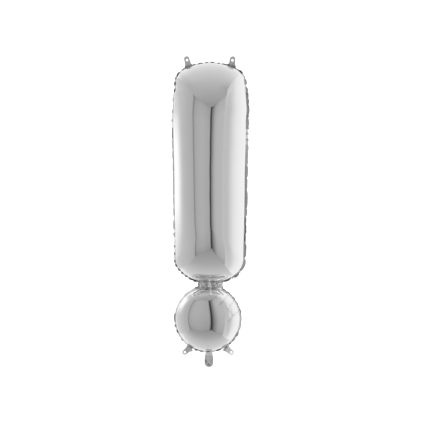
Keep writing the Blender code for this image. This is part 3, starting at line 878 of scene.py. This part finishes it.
# Columns: x and z at both ends, half width of the valley, and depth (below nil for a ridge).
# Both films have these, across the stem's end and the neck.
CREASES = (
    (-0.0437, -0.2846, -0.0184, -0.2868, 0.0036, 0.0034),
    (-0.005, -0.2878, 0.0443, -0.2838, 0.0036, 0.0034),
    (-0.04, -0.3005, -0.0085, -0.3016, 0.0016, 0.0042), (0.002, -0.3028, 0.04, -0.3005, 0.0016, 0.0042),
    (-0.038, -0.3195, -0.008, -0.318, 0.0015, 0.003), (0.006, -0.319, 0.043, -0.3205, 0.0016, 0.0036),
    (-0.033, -0.305, -0.024, -0.317, 0.0014, 0.002), (0.018, -0.306, 0.029, -0.315, 0.0014, 0.0018),
)
FRONT_CREASES = (
    # Right side of the dot: a pinched facet and the creases round it.
    (0.0581, -0.3449, 0.0279, -0.3706, 0.003, 0.0017), (0.0391, -0.3834, 0.0539, -0.387, 0.004, 0.0005),
    (0.0966, -0.3968, 0.0719, -0.408, 0.0028, 0.002), (0.0719, -0.408, 0.0581, -0.4238, 0.0034, 0.001),
    (0.0581, -0.4238, 0.0526, -0.4708, 0.005, 0.0008), (0.0539, -0.387, 0.068, -0.4051, 0.0036, 0.0007),
    (0.0828, -0.3597, 0.0631, -0.3761, 0.0028, 0.0018), (0.0631, -0.3761, 0.0697, -0.404, 0.0034, 0.0008),
    # Left side of the dot
    (-0.0503, -0.3393, -0.0443, -0.3505, 0.003, 0.0016), (-0.05, -0.333, -0.03, -0.342, 0.0028, 0.0008),
    # Creases at the tail's root
    (-0.0052, -0.53, -0.0062, -0.5225, 0.002, 0.0036), (-0.0052, -0.53, -0.0046, -0.512, 0.0022, -0.0026),
    (0.001, -0.53, 0.006, -0.52, 0.002, -0.0016), (-0.01, -0.529, -0.016, -0.52, 0.0022, -0.0016),
    (0.006, -0.5285, 0.012, -0.5235, 0.0018, -0.002), (0.0, -0.525, 0.009, -0.528, 0.0016, 0.0022),
    (-0.008, -0.52, -0.002, -0.517, 0.0018, 0.0012),
    # Creases below the roots of both upper tabs
    (-0.0775, 0.4035, -0.0735, 0.398, 0.002, 0.0022), (-0.0705, 0.4045, -0.0685, 0.398, 0.002, 0.0022),
    (0.062, 0.404, 0.065, 0.3985, 0.002, 0.002), (0.07, 0.4015, 0.071, 0.3955, 0.002, 0.0024),
)
BACK_CREASES = (
    (-0.072, -0.356, -0.048, -0.378, 0.0034, 0.001), (-0.09, -0.43, -0.064, -0.42, 0.0034, 0.001),
    (0.06, -0.342, 0.047, -0.36, 0.0034, 0.0012), (0.085, -0.456, 0.062, -0.444, 0.0034, 0.0009),
    (-0.004, -0.529, -0.006, -0.518, 0.0024, 0.0022), (0.006, -0.528, 0.012, -0.52, 0.0024, 0.0018),
)
# The upright ridge through the neck, where the film's slack meets.
NECK_SEAM = (
    (-0.0036, -0.296, -0.0028, -0.314, 0.0016, -0.004),
    (-0.0014, -0.315, 0.0, -0.3405, 0.0016, -0.004),
)
LINE_BLUNT = 0.0004


def line_relief(lines, x, z):
    """Sharp valleys along straight lines, in the columns of CREASES."""
    total = np.zeros_like(x)
    for x_0, z_0, x_1, z_1, width, depth in lines:
        run_x, run_z = x_1 - x_0, z_1 - z_0
        share = np.clip(((x - x_0) * run_x + (z - z_0) * run_z) / (run_x**2 + run_z**2), 0, 1)
        away = np.hypot(x - x_0 - share * run_x, z - z_0 - share * run_z)
        total -= depth * np.exp(-np.sqrt(away**2 + LINE_BLUNT**2) / width)
    return total


PLEAT_COUNT = 7
PLEAT_HALF_SPREAD = 0.031
PLEAT_STRAY = 0.0035
PLEAT_STRENGTHS = (0.5, 1.3)
PLEAT_LEANS = (-0.35, 0.35)
PLEAT_DEPTH = 0.0009
PLEAT_WIDTH = 0.0024
PLEAT_BLUNT = 0.0003
PLEAT_FAN = 0.045
# Reach: least, and more by the pleat's strength
PLEAT_REACH_ABOVE = (0.003, 0.004)
PLEAT_REACH_BELOW = (0.006, 0.01)
# Sway to the sides: height, radians a metre, and turn from one pleat to the next
PLEAT_SWAY = (0.0008, 420, 1.7)


def draw_pleats():
    """Each pleat's place across the neck, strength and lean."""
    draw = np.random.default_rng(5)
    even = np.linspace(-PLEAT_HALF_SPREAD, PLEAT_HALF_SPREAD, PLEAT_COUNT)
    places = even + draw.uniform(-PLEAT_STRAY, PLEAT_STRAY, PLEAT_COUNT)
    strengths = draw.uniform(*PLEAT_STRENGTHS, PLEAT_COUNT)
    return list(zip(places, strengths, draw.uniform(*PLEAT_LEANS, PLEAT_COUNT)))


PLEATS = draw_pleats()


def pleat_relief(x, z):
    """Upright pleats of the gathered neck, which fan out into both chambers."""
    above = z - NECK_MIDDLE_Z
    away = np.abs(above) - NECK_HALF_HEIGHT
    place = (x - NECK_CENTRE_X) / (1 + np.clip(away, 0, 1) / PLEAT_FAN)
    least, more = (np.where(above < 0, *pair) for pair in zip(PLEAT_REACH_BELOW, PLEAT_REACH_ABOVE))
    height, pace, turn = PLEAT_SWAY
    total = np.zeros_like(x)
    for index, (centre, strength, lean) in enumerate(PLEATS):
        sway = lean * above + height * np.sin(z * pace + index * turn)
        fade = 1 - smoothstep(away / (least + more * strength))
        total -= strength * fade * np.exp(-np.hypot(place - centre - sway, PLEAT_BLUNT) / PLEAT_WIDTH)
    return PLEAT_DEPTH * total


# Fine crumple of the neck: columns are x and z waves a metre, phase, and height.
CRUMPLE = (
    (70, 40, 0.7, 0.0003),
    (-45, 90, 2.2, 0.0003),
    (110, -80, 4.0, 0.00014),
)
CRUMPLE_REACH = 0.006
# Long shallow waves of the tight film.
WAVES = (
    (13, 9, 0.4, 0.000012),
    (-21, 12, 1.9, 0.00001),
    (9, -13, 2.7, 0.000012),
)


def wave_relief(waves, x, z, turn):
    total = np.zeros_like(x)
    for wave_x, wave_z, phase, height in waves:
        total += height * np.sin(2 * math.pi * (wave_x * x + wave_z * z) + phase + turn)
    return total


def crumple_relief(x, z, turn):
    """The neck's crumple, which ends shortly above and below it."""
    away = np.abs(z - NECK_MIDDLE_Z) - NECK_HALF_HEIGHT
    aside = np.abs(x - NECK_CENTRE_X) - NECK_HALF_WIDTH
    fade = (1 - smoothstep(away / CRUMPLE_REACH)) * (1 - smoothstep(aside / CRUMPLE_REACH))
    return wave_relief(CRUMPLE, x, z, turn) * fade


# Films

FILM_ROW_STEP = 0.0017
FILM_COLUMNS = 112
NECK_ROW_SHARE = 0.45
NECK_ROW_REACH = 0.035
FILM_SEEDS = {-1: 21, 1: 22}
FILM_STRENGTH_RANGE = (0.75, 1.2)
NORMAL_STEP = 0.0002
# Near the weld the film rises at this slope, and follows the weld's own relief and swings.
WELD_SLOPE = 2.2
WELD_SLOPE_REACH = 0.003
WELD_RELIEF_FADE = 0.004
WELD_WANDER_FADE = 0.01
# Painted shade: deep creases mirror less light, and so does the neck, most on its right.
FOLD_DARKENING = 0.45
FOLD_DARK_DEPTH = 0.0035
NECK_DARKENING = (0.12, 0.28)
NECK_DARK_REACH = 0.006
NECK_SEAM_RISE = 0.002


def nearest_on_weld(x, z):
    """Length along the weld of the point nearest to each place, and the distance to it in the plane."""
    tree = KDTree(WELD_COUNT)
    for index, (weld_x, weld_z) in enumerate(WELD):
        tree.insert((weld_x, weld_z, 0.0), index)
    tree.balance()
    flat_x, flat_z = x.ravel(), z.ravel()
    found = np.array([tree.find((a, b, 0.0))[1] for a, b in zip(flat_x, flat_z)])
    to_x, to_z = flat_x - WELD[found, 0], flat_z - WELD[found, 1]
    ahead = to_x * WELD_RUN[found, 0] + to_z * WELD_RUN[found, 1]
    s = WELD_S[found] + np.clip(ahead, -CHAIN_STEP, CHAIN_STEP)
    return s.reshape(x.shape), np.hypot(to_x, to_z).reshape(x.shape)


def film_normals(x, z, side):
    step = NORMAL_STEP
    slope_x = (film_depth(x + step, z) - film_depth(x - step, z)) / (2 * step)
    slope_z = (film_depth(x, z + step) - film_depth(x, z - step)) / (2 * step)
    normal = np.stack([-slope_x, np.full_like(x, side), -slope_z], -1)
    return normal / np.linalg.norm(normal, axis=-1, keepdims=True)


def film_rows():
    """Heights of the film's rows and the right weld there, closer together at the neck."""
    along = lengths_along(RIGHT_CHAIN)
    near = 1 - smoothstep(np.abs(RIGHT_CHAIN[:, 1] - NECK_MIDDLE_Z) / NECK_ROW_REACH)
    pace = 1 / (FILM_ROW_STEP * (1 - (1 - NECK_ROW_SHARE) * near))
    counted = running_sum(pace, along)
    marks = np.linspace(0, counted[-1], int(round(counted[-1])) + 1)
    return at_lengths(RIGHT_CHAIN, np.interp(marks, counted, along))


def neck_shade(x, z):
    """Painted shade of the crumpled neck, as a share of light mirrored: darker to its right, none on its
    seam.
    """
    inside = 1 - smoothstep((np.abs(z - NECK_MIDDLE_Z) - NECK_HALF_HEIGHT) / NECK_DARK_REACH)
    sides = (NECK_CENTRE_X - NECK_HALF_WIDTH, NECK_CENTRE_X + NECK_HALF_WIDTH)
    seam = smoothstep(line_relief(NECK_SEAM, x, z) / NECK_SEAM_RISE)
    return 1 - np.interp(x, sides, NECK_DARKENING) * inside * (1 - seam)


def make_film(name, side):
    """One film over stem, neck and dot, as rows from the top down. side is -1 for the front film."""
    right_x, row_z = film_rows().T
    left_x = np.interp(row_z, LEFT_CHAIN[::-1, 1], LEFT_CHAIN[::-1, 0])
    left_x[[0, -1]] = right_x[[0, -1]]
    turns = np.sin(np.linspace(-math.pi / 2, math.pi / 2, FILM_COLUMNS + 1))
    x = (left_x + right_x)[:, None] / 2 + (right_x - left_x)[:, None] / 2 * turns
    z = np.repeat(row_z[:, None], FILM_COLUMNS + 1, axis=1)
    s, in_plane = nearest_on_weld(x, z)
    index = weld_index(s)
    depth = film_depth(x, z)
    sloped = 1 - smoothstep(in_plane / WELD_SLOPE_REACH)
    depth = depth * (1 - sloped) + np.minimum(depth, in_plane * WELD_SLOPE) * sloped
    off = np.hypot(in_plane, depth)
    at_weld = np.exp(-off / WELD_RELIEF_FADE)
    draw = np.random.default_rng(FILM_SEEDS[side])
    strength = FOLDS.strength * draw.uniform(*FILM_STRENGTH_RANGE, len(FOLDS.strength))
    own = FRONT_CREASES if side < 0 else BACK_CREASES
    inner = line_relief(CREASES + NECK_SEAM + own, x, z) + pleat_relief(x, z)
    inner += wave_relief(WAVES, x, z, side) + crumple_relief(x, z, side)
    relief = (FOLDS.relief(s, off, strength) + inner) * (1 - at_weld) + WELD_RELIEF[index] * at_weld
    points = np.stack([x, side * (FILM_OFF_MIDDLE + depth), z], -1)
    points += film_normals(x, z, side) * relief[..., None]
    points[..., 1] += WELD_WANDER[index] * np.exp(-off / WELD_WANDER_FADE)
    # Painted shade, darker in the deep creases and over the neck
    shade = 1 - FOLD_DARKENING * smoothstep(-inner / FOLD_DARK_DEPTH) * (1 - at_weld)
    film = mesh_from_rows(name, points, shade * neck_shade(x, z), flip=side > 0)
    film.data.materials.append(foil("silver_film"))
    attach(film, "root")
    end = "front" if side < 0 else "back"
    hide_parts(f"stem_{end}", f"neck_{end}", f"dot_{end}")


# Rim

RIM_STEP = 0.0011
RIM_ROWS = 6
RIM_TUCK = 0.0015
RIM_RUN_BLUR = 0.008
# It bends over the first part of its width, and its outer painted shade starts later on.
RIM_BEND_PACE = 1.6
RIM_OUTER_FROM = 0.3
RIM_OUTER_FADE = 0.2
# Its width wavers, is notched at the creases, and is less at the neck's right.
RIM_WAVER = 0.12
RIM_WAVER_COUNT = 160
NOTCH_DEPTH = 0.22
NOTCH_SPAN = 0.1
RIM_NECK_LOSS = 0.45
RIM_NECK_REACH = 0.004
RIM_NECK_FADE = 0.01
CRIMP_SPAN = 0.0052
CRIMP_HEIGHT = 0.00016
CRIMP_STRAY = 2.0
CRIMP_STRAY_PACE = 47
# Seen from behind, the weld's painted darker bits are this share as dark as in front.
RIM_BACK_SHARE = 0.4


def read_ring(values, s):
    """Values of the weld's ring at any lengths along it."""
    marks = np.arange(WELD_COUNT + 1) * CHAIN_STEP
    return at_places(s % WELD_LENGTH, marks, np.concatenate([values, values[:1]]))


def rim_width(s, start, calm):
    draw = np.random.default_rng(31)
    marks = np.linspace(0, WELD_LENGTH, RIM_WAVER_COUNT)
    waver = np.interp(s, marks, draw.uniform(-1, 1, RIM_WAVER_COUNT))
    near_neck = 1 - smoothstep((np.abs(start[:, 1] - NECK_MIDDLE_Z) - RIM_NECK_REACH) / RIM_NECK_FADE)
    notch = FOLDS.share(s)
    width = RIM_WIDTH * (1 + RIM_WAVER * waver) * (1 - RIM_NECK_LOSS * (start[:, 0] > 0) * near_neck)
    return width * (1 - NOTCH_DEPTH * np.exp(-np.minimum(notch, 1 - notch) / NOTCH_SPAN) * (1 - calm))


def rim_shade(s):
    """Painted shades of the rim's rows: front, back and first edge, each from an inner to an outer shade."""
    shares = np.arange(RIM_ROWS + 1) / RIM_ROWS
    shares = np.concatenate([shares, shares[::-1], shares[:1]])
    outer = smoothstep((shares - RIM_OUTER_FROM) / RIM_OUTER_FADE)[:, None]
    inner_shade, outer_shade = read_ring(WELD_SHADE, s).T
    shade = inner_shade * (1 - outer) + outer_shade * outer
    behind = slice(RIM_ROWS + 1, 2 * (RIM_ROWS + 1))
    shade[behind] = 1 - RIM_BACK_SHARE * (1 - shade[behind])
    return shade


def make_rim():
    """The welded edge: a thin strip all round that tilts and swings between creases."""
    count = int(WELD_LENGTH / RIM_STEP)
    s = np.arange(count) * WELD_LENGTH / count
    run = run_along(smooth_ring(WELD, RIM_RUN_BLUR))
    rings = (WELD, run, WELD_TILT, WELD_RELIEF, WELD_WANDER)
    start, run, tilt, relief, sway = (read_ring(values, s) for values in rings)
    out = np.stack([-run[:, 1], run[:, 0]], 1) / np.linalg.norm(run, axis=1, keepdims=True)
    calm = calm_at_tabs(start)
    width = rim_width(s, start, calm)
    crimp = np.sin(2 * math.pi * s / CRIMP_SPAN + CRIMP_STRAY * np.sin(s * CRIMP_STRAY_PACE)) * (1 - calm)

    def row(share, face):
        reach = -RIM_TUCK + (width + RIM_TUCK) * share
        bend = tilt * smoothstep(share * RIM_BEND_PACE)
        x, z = (start + out * (relief + reach * np.cos(bend))[:, None]).T
        y = sway + reach * np.sin(bend) + CRIMP_HEIGHT * crimp * share**2 + face * RIM_SHEET / 2
        return np.stack([x, y, z], -1)

    rim = mesh_from_rows("weld_strip", both_faces(row, RIM_ROWS), rim_shade(s), closed=True, flip=True)
    rim.data.set_sharp_from_angle(angle=SHARP_ANGLE)
    rim.data.materials.append(foil("welded_film"))
    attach(rim, "root")
    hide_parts("weld_rim")


# Tabs and tail

TIP_STEPS = 40
SIDE_STEPS = 30
ROOT_STEPS = 20
# A tab starts this far off the weld, and flares over the last part of its sides.
TAB_ROOT_OFF = 0.0015
TAB_ROOT_SHARE = 0.95
TAB_FLARE_FROM = 0.55
TAB_FLARE_POWER = 2.2
# Curl at its tip, and fades of its slope and of its root's painted shade
TAB_CURL = 0.0022
TAB_TURN_FADE = 0.004
TAB_SHADE_FROM = 0.001
TAB_SHADE_FADE = 0.01
# Short pleats above its root
TAB_PLEATS = 6
TAB_PLEAT_PLACES = (-1.1, 1.1)
TAB_PLEAT_LIFTS = (0.5, 1.2)
TAB_PLEAT_LEANS = (-0.5, 0.5)
TAB_PLEAT_HEIGHT = 0.0011
TAB_PLEAT_WIDTH = 0.0012
TAB_PLEAT_RISE = 0.003
TAB_PLEAT_TOP = 0.006
TAB_PLEAT_FADE = 0.0045
# The tail's sides narrow here, as shares of their length.
TAIL_SHOULDER_FROM = 0.55
TAIL_SHOULDER_FADE = 0.25


def polar_outline(outline, centre, turns):
    """Radius of a closed outline about a centre at each turn."""
    x, z = (outline - centre).T
    marks = np.unwrap(np.arctan2(z, x))
    marks = np.concatenate([marks - 2 * math.pi, marks, marks + 2 * math.pi])
    order = np.argsort(marks)
    return np.interp(turns, marks[order], np.tile(np.hypot(x, z), 3)[order])


def make_flat_piece(name, outline, centre, hole, sheet, bend, painted_shade_tone, slot, steps=(120, 18)):
    """A thin piece with a round hole about its centre. bend and tone give y and painted shade at x and z."""
    columns, rings = steps
    turns = np.linspace(0, 2 * math.pi, columns, endpoint=False)
    outer = polar_outline(outline, centre, turns)

    def row(share, face):
        radius = hole + (outer - hole) * share
        x = centre[0] + radius * np.cos(turns)
        z = centre[1] + radius * np.sin(turns)
        return np.stack([x, bend(x, z) + face * sheet / 2, z], -1)

    points = both_faces(row, rings, edged=hole > 0)
    piece = mesh_from_rows(name, points, painted_shade_tone(points[..., 0], points[..., 2]), closed=True, flip=True)
    piece.data.set_sharp_from_angle(angle=SHARP_ANGLE)
    piece.data.materials.append(foil(slot))
    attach(piece, "root")
    return piece


def tab_outline(half, tip_up, root, widen, flare):
    """A tab in its own axes: a round tip, sides that flare towards the root, and a straight root."""
    turns = np.linspace(0, math.pi, TIP_STEPS)
    tip = np.stack([half * np.cos(turns), tip_up + half * np.sin(turns)], 1)
    share = np.linspace(0, 1, SIDE_STEPS)
    flared = np.clip((share - TAB_FLARE_FROM) / (1 - TAB_FLARE_FROM), 0, 1) ** TAB_FLARE_POWER
    left = np.stack([-half - widen * share - flare * flared, tip_up + (root - tip_up) * share], 1)
    bottom_x = np.linspace(TAB_ROOT_SHARE, -TAB_ROOT_SHARE, ROOT_STEPS) * left[-1, 0]
    bottom = np.stack([bottom_x, np.full(ROOT_STEPS, root)], 1)
    return np.concatenate([tip, left, bottom, left[::-1] * (-1, 1)])


def make_tab(name, hole_x, hole_z, lean, half, tip_up, widen, flare, slope, body_shade, root_shade, seed):
    """A hanging tab, slightly curled, with short creases where it leaves the rim."""
    turn = math.radians(lean)
    axes = np.array([[math.cos(turn), math.sin(turn)], [-math.sin(turn), math.cos(turn)]])
    centre = np.array([hole_x, hole_z])
    nearest = WELD[np.argmin(np.hypot(*(WELD - centre).T))]
    root = axes[1] @ (nearest - centre) + TAB_ROOT_OFF
    outline = centre + tab_outline(half, tip_up, root, widen, flare) @ axes
    draw = np.random.default_rng(seed)
    curl = draw.uniform(-1, 1)
    pleats = draw.uniform(*TAB_PLEAT_PLACES, TAB_PLEATS) * half
    lifts = draw.uniform(*TAB_PLEAT_LIFTS, TAB_PLEATS) * draw.choice([-1.0, 1.0], TAB_PLEATS)
    leans = draw.uniform(*TAB_PLEAT_LEANS, TAB_PLEATS)

    def in_tab(x, z):
        """Places to the right of the tab's middle line and above its root."""
        right, up = np.tensordot(axes, np.array([x - hole_x, z - hole_z]), 1)
        return right, up - root

    def bend(x, z):
        right, above = in_tab(x, z)
        tipwards = np.clip(above / (half - root), 0, 1)
        y = TAB_CURL * curl * tipwards**2 - slope * (x - hole_x) * smoothstep(above / TAB_TURN_FADE)
        rise = smoothstep(above / TAB_PLEAT_RISE)
        rise = rise * np.exp(-np.clip(above - TAB_PLEAT_TOP, 0, 1) / TAB_PLEAT_FADE)
        for pleat, lift, slant in zip(pleats, lifts, leans):
            gap = np.abs(right - pleat - slant * above)
            y = y + TAB_PLEAT_HEIGHT * lift * rise * np.exp(-gap / TAB_PLEAT_WIDTH)
        return y

    # Painted shade: darker at the root, where the tab leaves the rim
    def painted_shade_tone(x, z):
        _, above = in_tab(x, z)
        return root_shade + (body_shade - root_shade) * smoothstep((above - TAB_SHADE_FROM) / TAB_SHADE_FADE)

    film = f"{name}_film"
    tab = make_flat_piece(film, outline, centre, TAB_HOLE_RADIUS, TAB_SHEET, bend, painted_shade_tone, "welded_film")
    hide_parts(name)


def tongue_outline(half_width, shoulder, tip_z):
    """A tongue with a round lower end and a narrower root."""
    round_z = tip_z + half_width
    turns = np.linspace(math.pi, 2 * math.pi, TIP_STEPS)
    low = np.stack([half_width * np.cos(turns), round_z + half_width * np.sin(turns)], 1)
    share = np.linspace(0, 1, ROOT_STEPS)
    out = half_width - shoulder * smoothstep((share - TAIL_SHOULDER_FROM) / TAIL_SHOULDER_FADE)
    right = np.stack([out, round_z + (TAIL_TOP_Z - round_z) * share], 1)
    return np.concatenate([low, right, right[::-1] * (-1, 1)]) + (TAIL_CENTRE_X, 0)


# Pressed lines of the valve in the tail, in the columns of CREASES.
TAIL_LINES = (
    (-0.0163, -0.559, -0.0154, -0.5636, 0.002, 0.0013),
    (-0.0146, -0.565, -0.0062, -0.5732, 0.0014, 0.0004),
    (-0.0066, -0.5722, -0.005, -0.5732, 0.0018, 0.0011),
    (-0.005, -0.5738, 0.005, -0.5762, 0.0014, 0.0004), (0.0062, -0.548, 0.0052, -0.569, 0.0015, 0.0003),
    (-0.013, -0.546, -0.006, -0.553, 0.0016, -0.0003), (-0.002, -0.558, 0.004, -0.562, 0.002, 0.0003),
)
# Steep pleats at the tail's root
TAIL_PLEAT_SPAN = 0.0048
TAIL_PLEAT_HEIGHT = 0.0008
TAIL_PLEAT_LEAN = 0.35
TAIL_PLEAT_LOW_Z = -0.546
TAIL_PLEAT_FADE = 0.0035
# Painted shade along the pressed lines: darkening for each metre of their depth
TAIL_LINE_DARKENING = 700
TAIL_STEPS = (300, 44)
TAIL_WAVE = 75
TAIL_WAVE_Z = -0.56
TAIL_WAVE_HEIGHT = 0.001
TAIL_ROOT_OVER = 0.001
TAIL_ROOT_FADE = 0.008


def tail_bend(x, z, off=0.0):
    wave = TAIL_WAVE_HEIGHT * np.sin((z - TAIL_WAVE_Z) * TAIL_WAVE)
    total = wave - TAIL_TURN * (x - TAIL_CENTRE_X) + line_relief(TAIL_LINES, x, z)
    pleat = np.sin(2 * math.pi * (x + TAIL_PLEAT_LEAN * (z - TAIL_TOP_Z)) / TAIL_PLEAT_SPAN)
    pleated = TAIL_PLEAT_HEIGHT * pleat * smoothstep((z - TAIL_PLEAT_LOW_Z) / TAIL_PLEAT_FADE)
    return total * smoothstep((TAIL_TOP_Z + TAIL_ROOT_OVER - z) / TAIL_ROOT_FADE) + pleated + off


# Painted shade: the tail is darker along its pressed lines, the more the deeper they are
def tail_painted_shade(x, z):
    return 1 - TAIL_LINE_DARKENING * np.maximum(-line_relief(TAIL_LINES, x, z), 0)


def make_tail():
    """The filling tail: two plies with the valve's film between them, seen through the back ply's hole."""
    centre = (TAIL_CENTRE_X, TAIL_TIP_Z + TAIL_HOLE_ABOVE_TIP)
    outline = tongue_outline(TAIL_HALF_WIDTH, TAIL_SHOULDER, TAIL_TIP_Z)
    for end, gap, hole in (("front", -TAIL_GAP, 0.0), ("back", TAIL_GAP, TAIL_HOLE_RADIUS)):
        name, bend = f"tail_{end}_film", partial(tail_bend, off=gap)
        looks = (bend, tail_painted_shade, "welded_film", TAIL_STEPS)
        ply = make_flat_piece(name, outline, centre, hole, TAIL_SHEET, *looks)
        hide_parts(f"tail_{end}")
    outline = tongue_outline(VALVE_HALF_WIDTH, 0.0, TAIL_TIP_Z + VALVE_ABOVE_TIP)
    looks = (tail_bend, tail_painted_shade, "valve_film")
    valve = make_flat_piece("valve_sheet", outline, centre, 0.0, VALVE_SHEET, *looks)
    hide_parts("valve_film")


# Materials

# Columns: colour, least share of it in its pattern, roughness from and to, fine and coarse bump, whether it
# is metal, and spots a metre in its pattern.
FOILS = {
    "silver_film": ((0.915, 0.915, 0.915), 0.985, 0.02, 0.045, 0.004, 0.0015, 1.0, 18),
    "welded_film": ((0.96, 0.96, 0.962), 0.86, 0.14, 0.28, 0.1, 0.05, 1.0, 220),
    "valve_film": ((0.86, 0.88, 0.9), 0.9, 0.18, 0.32, 0.05, 0.04, 0.0, 60),
}
# Part of a pattern's values that is used, and spots a metre and detail of the other patterns
PATTERN_RANGE = (0.32, 0.68)
TONE_DETAIL = 4
GLOSS_PATTERN = (45, 3)
COARSE_PATTERN = (160, 3)
FINE_PATTERN = (1400, 2)
COARSE_HEIGHT = 0.002
FINE_HEIGHT = 0.0005


def foil(name):
    """A material for one of the films, with its tone, gloss and relief from procedural patterns."""
    known = bpy.data.materials.get(f"{name}_look")
    if known:
        return known
    colour, least, smooth, rough, fine, coarse, metal, spots = FOILS[name]
    material = bpy.data.materials.new(f"{name}_look")
    material.use_nodes = True
    tree = material.node_tree
    place = add_node(tree, "TexCoord", {}).outputs["Object"]

    def noise(scale, detail):
        return add_node(tree, "TexNoise", {"Vector": place, "Scale": scale, "Detail": detail}).outputs["Fac"]

    def ranged(value, low, high):
        ends = dict(zip(("From Min", "From Max", "To Min", "To Max"), (*PATTERN_RANGE, low, high)))
        return add_node(tree, "MapRange", {"Value": value, **ends}).outputs["Result"]

    def bump(pattern, strength, height, below):
        inputs = {"Height": noise(*pattern), "Strength": strength, "Distance": height, **below}
        return {"Normal": add_node(tree, "Bump", inputs).outputs["Normal"]}

    # The points' painted shade, times a random tone, scales the colour
    shade = add_node(tree, "Attribute", {}, attribute_name="shade").outputs["Fac"]
    shares = {0: shade, 1: ranged(noise(spots, TONE_DETAIL), least, 1.0)}
    share = add_node(tree, "Math", shares, operation="MULTIPLY").outputs[0]
    tones = {"Factor": share, "A": (0, 0, 0, 1), "B": (*colour, 1)}
    painted_shade_tone = add_node(tree, "Mix", tones, data_type="RGBA").outputs["Result"]
    gloss = ranged(noise(*GLOSS_PATTERN), smooth, rough)
    relief = bump(FINE_PATTERN, fine, FINE_HEIGHT, bump(COARSE_PATTERN, coarse, COARSE_HEIGHT, {}))
    looks = {"Metallic": metal, "Base Color": painted_shade_tone, "Roughness": gloss, **relief}
    set_inputs(tree.nodes["Principled BSDF"], looks)
    return material


# Making


def make_all():
    make_camera()
    make_world()
    make_floor()
    make_tent()
    make_film("film_front", -1)
    make_film("film_back", 1)
    make_rim()
    for seed, tab in enumerate(TABS):
        make_tab(*tab, 41 + seed)
    make_tail()


make_all()
